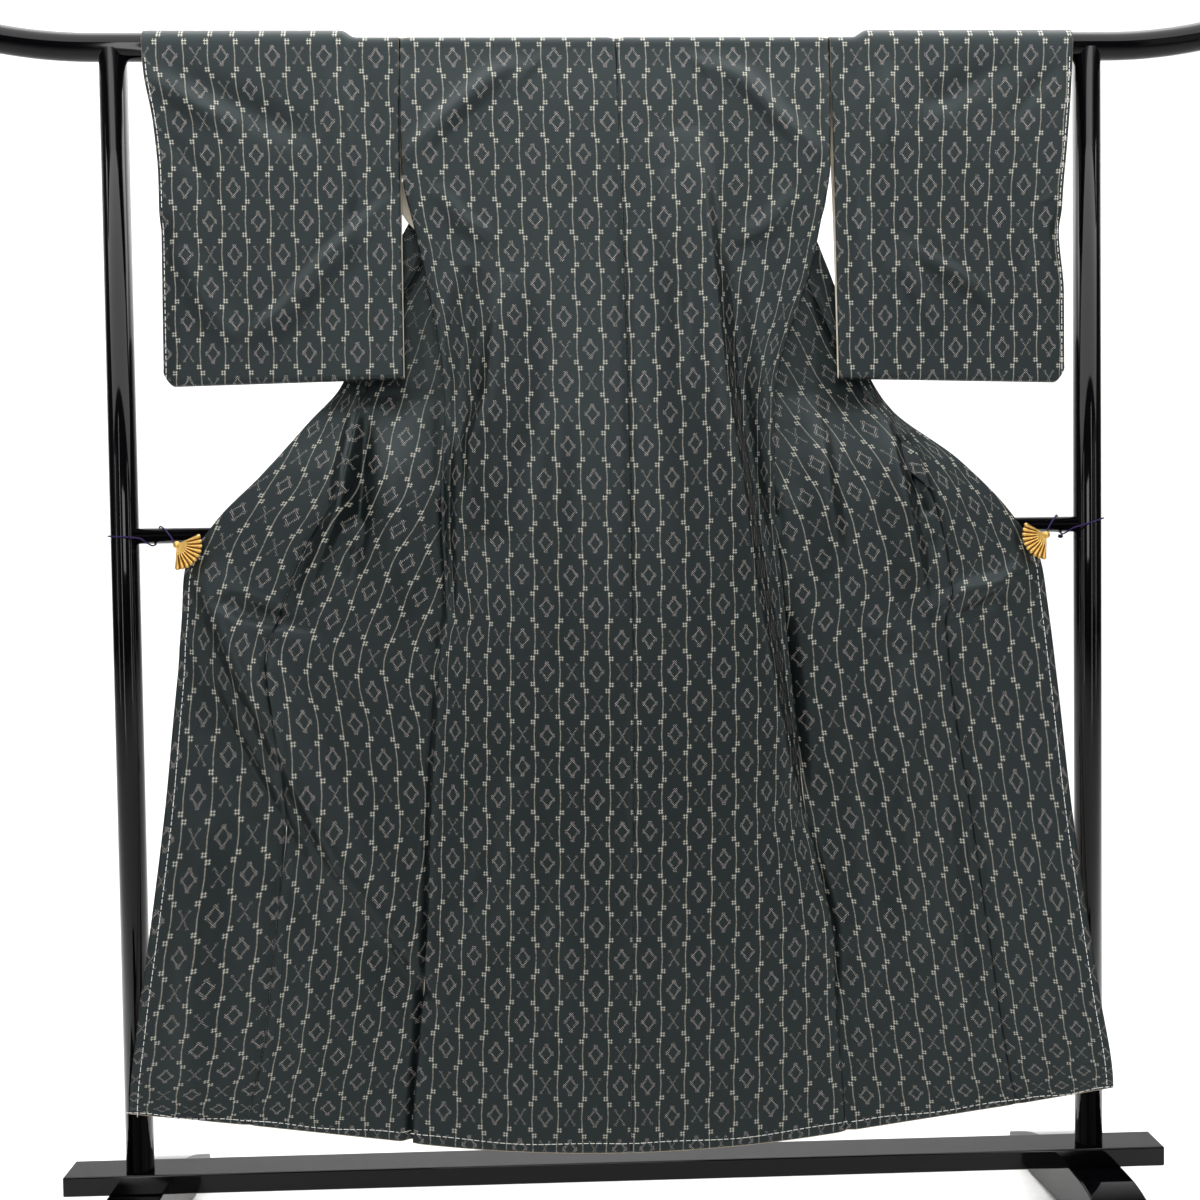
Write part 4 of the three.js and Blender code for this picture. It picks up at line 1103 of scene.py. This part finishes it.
class KIMONO_OT_basting(bpy.types.Operator):
    """Sews the white basting along the hem, the front edges and the cuffs"""
    bl_idname = "kimono.basting"
    bl_label = "Basting"

    def execute(self, context):
        look = context.scene.kimono_cloth
        stitch = context.scene.kimono_stitch
        thread = plain_material("Basting thread", (0.75, 0.74, 0.70), 0.7)
        tree = stitch_nodes()
        for side, runs in basting_lines(look, stitch.inset).items():
            points, edges = [], []
            for run in runs:
                base = len(points)
                points.extend(tuple(p) for p in run * MM)
                edges.extend((base + k, base + k + 1) for k in range(len(run) - 1))
            mesh = bpy.data.meshes.new(f"basting_path_{side}")
            mesh.from_pydata(points, edges, [])
            line = bpy.data.objects.new(f"basting_path_{side}", mesh)
            context.scene.collection.objects.link(line)
            modifier = line.modifiers.new("Basting", "NODES")
            modifier.node_group = tree
            sockets = {item.name: item.identifier for item in tree.interface.items_tree
                       if getattr(item, "in_out", "") == "INPUT"}
            for name in ("spacing", "length", "radius"):
                modifier[sockets[name.title()]] = getattr(stitch, name) * MM
            modifier[sockets["Thread"]] = thread
            graph = context.evaluated_depsgraph_get()
            made = bpy.data.meshes.new_from_object(line.evaluated_get(graph))
            line.modifiers.clear()
            bpy.data.objects.remove(line)
            obj = bpy.data.objects.new(f"basting_{side}", made)
            context.scene.collection.objects.link(obj)
            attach(obj, "root")
        return {"FINISHED"}


class KIMONO_OT_clips(bpy.types.Operator):
    """Makes the two gilt fan clips"""
    bl_idname = "kimono.clips"
    bl_label = "Fan clips"

    def execute(self, context):
        # Gilt, and a dark brown painted shade for the valleys between the fan's pleats.
        gilt = [plain_material("Gilt", (0.62, 0.38, 0.11), 0.3, metallic=1.0, grain=0.0002),
                plain_material("Gilt valley painted shade", (0.11, 0.055, 0.014), 0.45, metallic=0.7)]
        for side in SIDES:
            clip = CLIPS[side]
            obj = make_fan(f"fan_clip_{side}_gilt", clip, gilt)
            join(obj, f"fan_clip_{side}")
        return {"FINISHED"}


def make_fan(name, clip, materials):
    """A pleated fan with a knob at its pivot, a beaded rim and a jaw behind the cloth."""
    columns = FAN_RIBS * FAN_RIB_STEPS + 1
    radii = [3.0, 8.0, 12.0, 13.5, 16.0, 22.0, 29.0, 32.0, 33.4, 34.3, 35.0]
    points, faces = [], []
    x0, z0 = clip["knob"]

    def at(radius, angle, y):
        return x0 + radius * math.cos(angle), y, z0 + radius * math.sin(angle)

    def fan_angle(k):
        return clip["start"] + clip["turn"] * FAN_SPREAD * k

    def add_grid(rows):
        base = len(points)
        across = len(rows[0])
        for row in rows:
            points.extend(row)
        for i in range(len(rows) - 1):
            for j in range(across - 1):
                a = base + i * across + j
                faces.append((a, a + 1, a + across + 1, a + across))

    for skin, depth in ((0, FAN_FRONT), (1, FAN_FRONT + 2.0)):
        rows = []
        for radius in radii:
            row = []
            for j in range(columns):
                k = j / (columns - 1)
                pleat = abs(math.sin(math.pi * FAN_RIBS * k))
                lift = pleat * 2.8 * float(smooth((radius - 12.5) / 4)) * (1 if skin == 0 else 0.4)
                band = 0.9 if 12.0 <= radius <= 13.5 else 0.0
                rim = 0.8 if 32.0 <= radius <= 33.4 else 0.0
                reach = radius * (1 - 0.055 * (1 - pleat) * float(smooth((radius - 28) / 6)))
                y = depth - lift - (band + rim) * (1 - skin)
                row.append(at(reach, fan_angle(k), y + (0.4 if skin == 0 and radius > 34.5 else 0.0)))
            rows.append(row)
        add_grid(rows)
    outer_rim = len(radii) * columns
    add_grid([points[outer_rim - columns:outer_rim], points[2 * outer_rim - columns:2 * outer_rim]])

    def add_disc(y_from, y_to, radius, dome, sides=24):
        profile = [(radius, y_to), (radius, y_from + dome), (radius * 0.8, y_from + dome * 0.3),
                   (0.02, y_from)]
        add_grid([[at(r, 2 * math.pi * s / sides, y) for s in range(sides + 1)] for r, y in profile])

    add_disc(FAN_FRONT - 2.0, JAW_BACK, 3.2, dome=1.4)
    add_disc(FAN_FRONT - 0.8, FAN_FRONT + 2.0, 4.8, dome=0.8)
    jaw_front = JAW_BACK - 1.2
    jaw = ((3.0, jaw_front), (20.8, jaw_front), (21.0, jaw_front), (21.0, JAW_BACK), (3.0, JAW_BACK))
    add_grid([[at(radius, fan_angle(j / 24), depth) for j in range(25)] for radius, depth in jaw])
    # Painted shade for the valleys: the first and last step of every rib on the front skin, beyond the band,
    # take the dark second material.
    valleys = {i * (columns - 1) + j for i in range(3, len(radii) - 1) for j in range(columns - 1)
               if j % FAN_RIB_STEPS in (0, FAN_RIB_STEPS - 1)}
    return mesh_object(name, points, faces, materials, kinds=[int(k in valleys) for k in range(len(faces))])


class KIMONO_OT_stand(bpy.types.Operator):
    """Turns and lacquers the stand"""
    bl_idname = "kimono.stand"
    bl_label = "Stand"

    def execute(self, context):
        s = context.scene.kimono_stand
        lacquer = plain_material("Black lacquer", (0.0012, 0.0012, 0.0016), 0.07, specular=0.22)
        made = {}

        def add_tube(node, path, radius, sides, round_end=0.0):
            made[node] = tube(f"{node}_lacquer", path, radius, sides, lacquer, round_end=round_end)

        for side in SIDES:
            outs = np.concatenate([[RAIL_JOINT + GAP, RAIL_BEND_START - 60],
                                   np.linspace(RAIL_BEND_START, RAIL_REACH, 24)])
            beyond = np.maximum(0, outs - RAIL_BEND_START)
            rise = RAIL_BEND_RADIUS - np.sqrt(RAIL_BEND_RADIUS**2 - beyond**2)
            path = np.stack([sign(side) * outs, 0 * outs, RAIL_HEIGHT + rise], -1)
            add_tube(f"rail_end_{side}", path, TUBE_RADIUS, s.sides, 2.5)
            x = sign(side) * POST_SPACING / 2
            heights = (BEAM_UNDERSIDE + BEAM[2] + GAP, 900, RAIL_HEIGHT - 6)
            add_tube(f"post_{side}", [(x, 0, z) for z in heights], TUBE_RADIUS, s.sides)
            made[f"foot_{side}"] = make_foot(f"foot_{side}_lacquer", x, lacquer, s.bevel)
        for node, reach, height, radius, sides in (
                ("rail_middle", RAIL_JOINT, RAIL_HEIGHT, RAIL_MIDDLE_RADIUS, 32),
                ("crossbar", POST_SPACING / 2 - TUBE_RADIUS + 3, CROSSBAR_HEIGHT, CROSSBAR_RADIUS, 40)):
            add_tube(node, [(x, 0, height) for x in (-reach, 0, reach)], radius, sides)
        low = BEAM_UNDERSIDE
        made["base_beam"] = make_block("base_beam_lacquer", (-BEAM[0] / 2, -BEAM[1] / 2, low),
                                       (BEAM[0] / 2, BEAM[1] / 2, low + BEAM[2]), lacquer, s.bevel)
        for node, obj in made.items():
            join(obj, node)
        return {"FINISHED"}


def bevelled(obj, width):
    """Rounds an object's sharp edges and keeps the result as a plain mesh."""
    modifier = obj.modifiers.new("Bevel", "BEVEL")
    modifier.width = width * MM
    modifier.segments = 4
    modifier.limit_method = "ANGLE"
    modifier.angle_limit = math.radians(40)
    modifier.harden_normals = True
    graph = bpy.context.evaluated_depsgraph_get()
    mesh = bpy.data.meshes.new_from_object(obj.evaluated_get(graph))
    obj.modifiers.clear()
    obj.data = mesh
    return obj


def make_block(name, low, high, material, bevel):
    """A box with rounded edges."""
    corners = [(x, y, z) for x in (low[0], high[0]) for y in (low[1], high[1])
               for z in (low[2], high[2])]
    faces = [(0, 1, 3, 2), (4, 6, 7, 5), (0, 4, 5, 1), (2, 3, 7, 6), (0, 2, 6, 4), (1, 5, 7, 3)]
    return bevelled(mesh_object(name, corners, faces, [material]), bevel)


def make_foot(name, x, material, bevel):
    """An arched foot with rising ends, cut from a plank."""
    half, pad, arch, toe = FOOT["length"] / 2, FOOT["pad"], FOOT["arch"], FOOT["toe"]
    top = BEAM_UNDERSIDE - GAP
    outline = [(-half, 0.0), (-half + pad, 0.0)]
    for t in np.linspace(0, 1, 21)[1:]:
        outline.append(((1 - t) ** 2 * (-half + pad) + t**2 * (half - pad), 2 * t * (1 - t) * 2 * arch))
    outline += [(half, 0.0), (half, toe)]

    def rise(sign_y):
        curve = ((half, toe), (half - 60, toe + 26), (110, top), (60, top))
        rows = []
        for t in np.linspace(0, 1, 17)[1:]:
            shares = ((1 - t) ** 3, 3 * (1 - t) ** 2 * t, 3 * (1 - t) * t**2, t**3)
            y, z = (sum(share * p[axis] for share, p in zip(shares, curve)) for axis in (0, 1))
            rows.append((sign_y * y, z))
        return rows

    outline += rise(1) + list(reversed(rise(-1))) + [(-half, toe)]
    count = len(outline)
    width = FOOT["width"] / 2
    points = [(x - width, y, z) for y, z in outline] + [(x + width, y, z) for y, z in outline]
    faces = [(k, (k + 1) % count, count + (k + 1) % count, count + k) for k in range(count)]
    faces += [tuple(reversed(range(count))), tuple(range(count, 2 * count))]
    return bevelled(mesh_object(name, points, faces, [material]), bevel)


class KIMONO_OT_stage(bpy.types.Operator):
    """Sets the pale floor and backdrop and the soft lights"""
    bl_idname = "kimono.stage"
    bl_label = "Stage"

    def execute(self, context):
        s = context.scene.kimono_stage
        paper = plain_material("Stage paper", (0.90, 0.90, 0.90), 0.9, specular=0.1)
        rows = [(-4000.0, 0.0), (2600.0, 0.0)]
        rows += [(2600 + 1200 * math.sin(a), 1200 * (1 - math.cos(a)))
                 for a in np.linspace(0, math.pi / 2, 24)[1:]]
        rows.append((3800.0, 6000.0))
        points = [(x, y, z - 0.4) for y, z in rows for x in (-7000.0, 7000.0)]
        faces = [(2 * k, 2 * k + 1, 2 * k + 3, 2 * k + 2) for k in range(len(rows) - 1)]
        backdrop = mesh_object("backdrop", points, faces, [paper])
        world = bpy.data.worlds.new("Studio")
        context.scene.world = world
        world.use_nodes = True
        sky = world.node_tree.nodes["Background"].inputs
        sky["Color"].default_value = (1.0, 1.0, 1.0, 1.0)
        sky["Strength"].default_value = s.world
        lights = (("Key", s.key, 0.9, (-80, -2700, 1650), (0, 0, 900)),
                  ("Fill", s.fill, 1.6, (2300, -1700, 1500), (0, 0, 850)),
                  ("Side", s.fill * 0.7, 1.6, (-2600, -1500, 1500), (0, 0, 850)),
                  ("Sweep", s.sweep, 5.0, (0, 700, 3900), (0, 3600, 1100)),
                  ("Floor", s.sweep * 0.3, 4.0, (0, 2000, 3600), (0, 2200, 0)))
        strips = [(f"Strip {x}", s.strip, (0.09, 2.2), (x, -1500, 1100), (x * 0.2, 0, 1000))
                  for x in (-2700, -1100, 1100, 2700)]
        for name, power, size, place, target in [*lights, *strips]:
            data = bpy.data.lights.new(name, "AREA")
            data.energy = power
            data.shape = "RECTANGLE"
            data.size, data.size_y = size if isinstance(size, tuple) else (size, size)
            lamp = bpy.data.objects.new(name, data)
            lamp.location = Vector(place) * MM
            lamp.rotation_euler = (Vector(target) - Vector(place)).to_track_quat("-Z", "Y").to_euler()
            context.scene.collection.objects.link(lamp)
        context.scene.view_settings.view_transform = "Standard"
        return {"FINISHED"}


class KIMONO_PT_panel(bpy.types.Panel):
    """Steps and settings of the kimono"""
    bl_idname = "KIMONO_PT_panel"
    bl_label = "Kimono"
    bl_space_type = "VIEW_3D"
    bl_region_type = "UI"
    bl_category = "Kimono"

    def draw(self, context):
        for step in STEPS:
            self.layout.operator(f"kimono.{step}")
        for key, kind in SETTINGS.items():
            box = self.layout.box()
            for name in kind.__annotations__:
                box.prop(getattr(context.scene, key), name)


SETTINGS = {"kimono_cloth": ClothSettings, "kimono_stitch": StitchSettings,
            "kimono_stand": StandSettings, "kimono_stage": StageSettings}
STEPS = ("camera", "cords", "stage", "stand", "clips", "panels", "sleeves", "collar", "basting")
CLASSES = (*SETTINGS.values(), KIMONO_OT_camera, KIMONO_OT_cords, KIMONO_OT_stage, KIMONO_OT_stand,
           KIMONO_OT_clips, KIMONO_OT_panels, KIMONO_OT_sleeves, KIMONO_OT_collar, KIMONO_OT_basting,
           KIMONO_PT_panel)


def register():
    for kind in CLASSES:
        bpy.utils.register_class(kind)
    for key, kind in SETTINGS.items():
        setattr(bpy.types.Scene, key, bpy.props.PointerProperty(type=kind))


def unregister():
    for key in SETTINGS:
        delattr(bpy.types.Scene, key)
    for kind in reversed(CLASSES):
        bpy.utils.unregister_class(kind)


def main():
    register()
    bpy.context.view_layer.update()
    for step in STEPS:
        getattr(bpy.ops.kimono, step)()


if __name__ == "__main__":
    main()
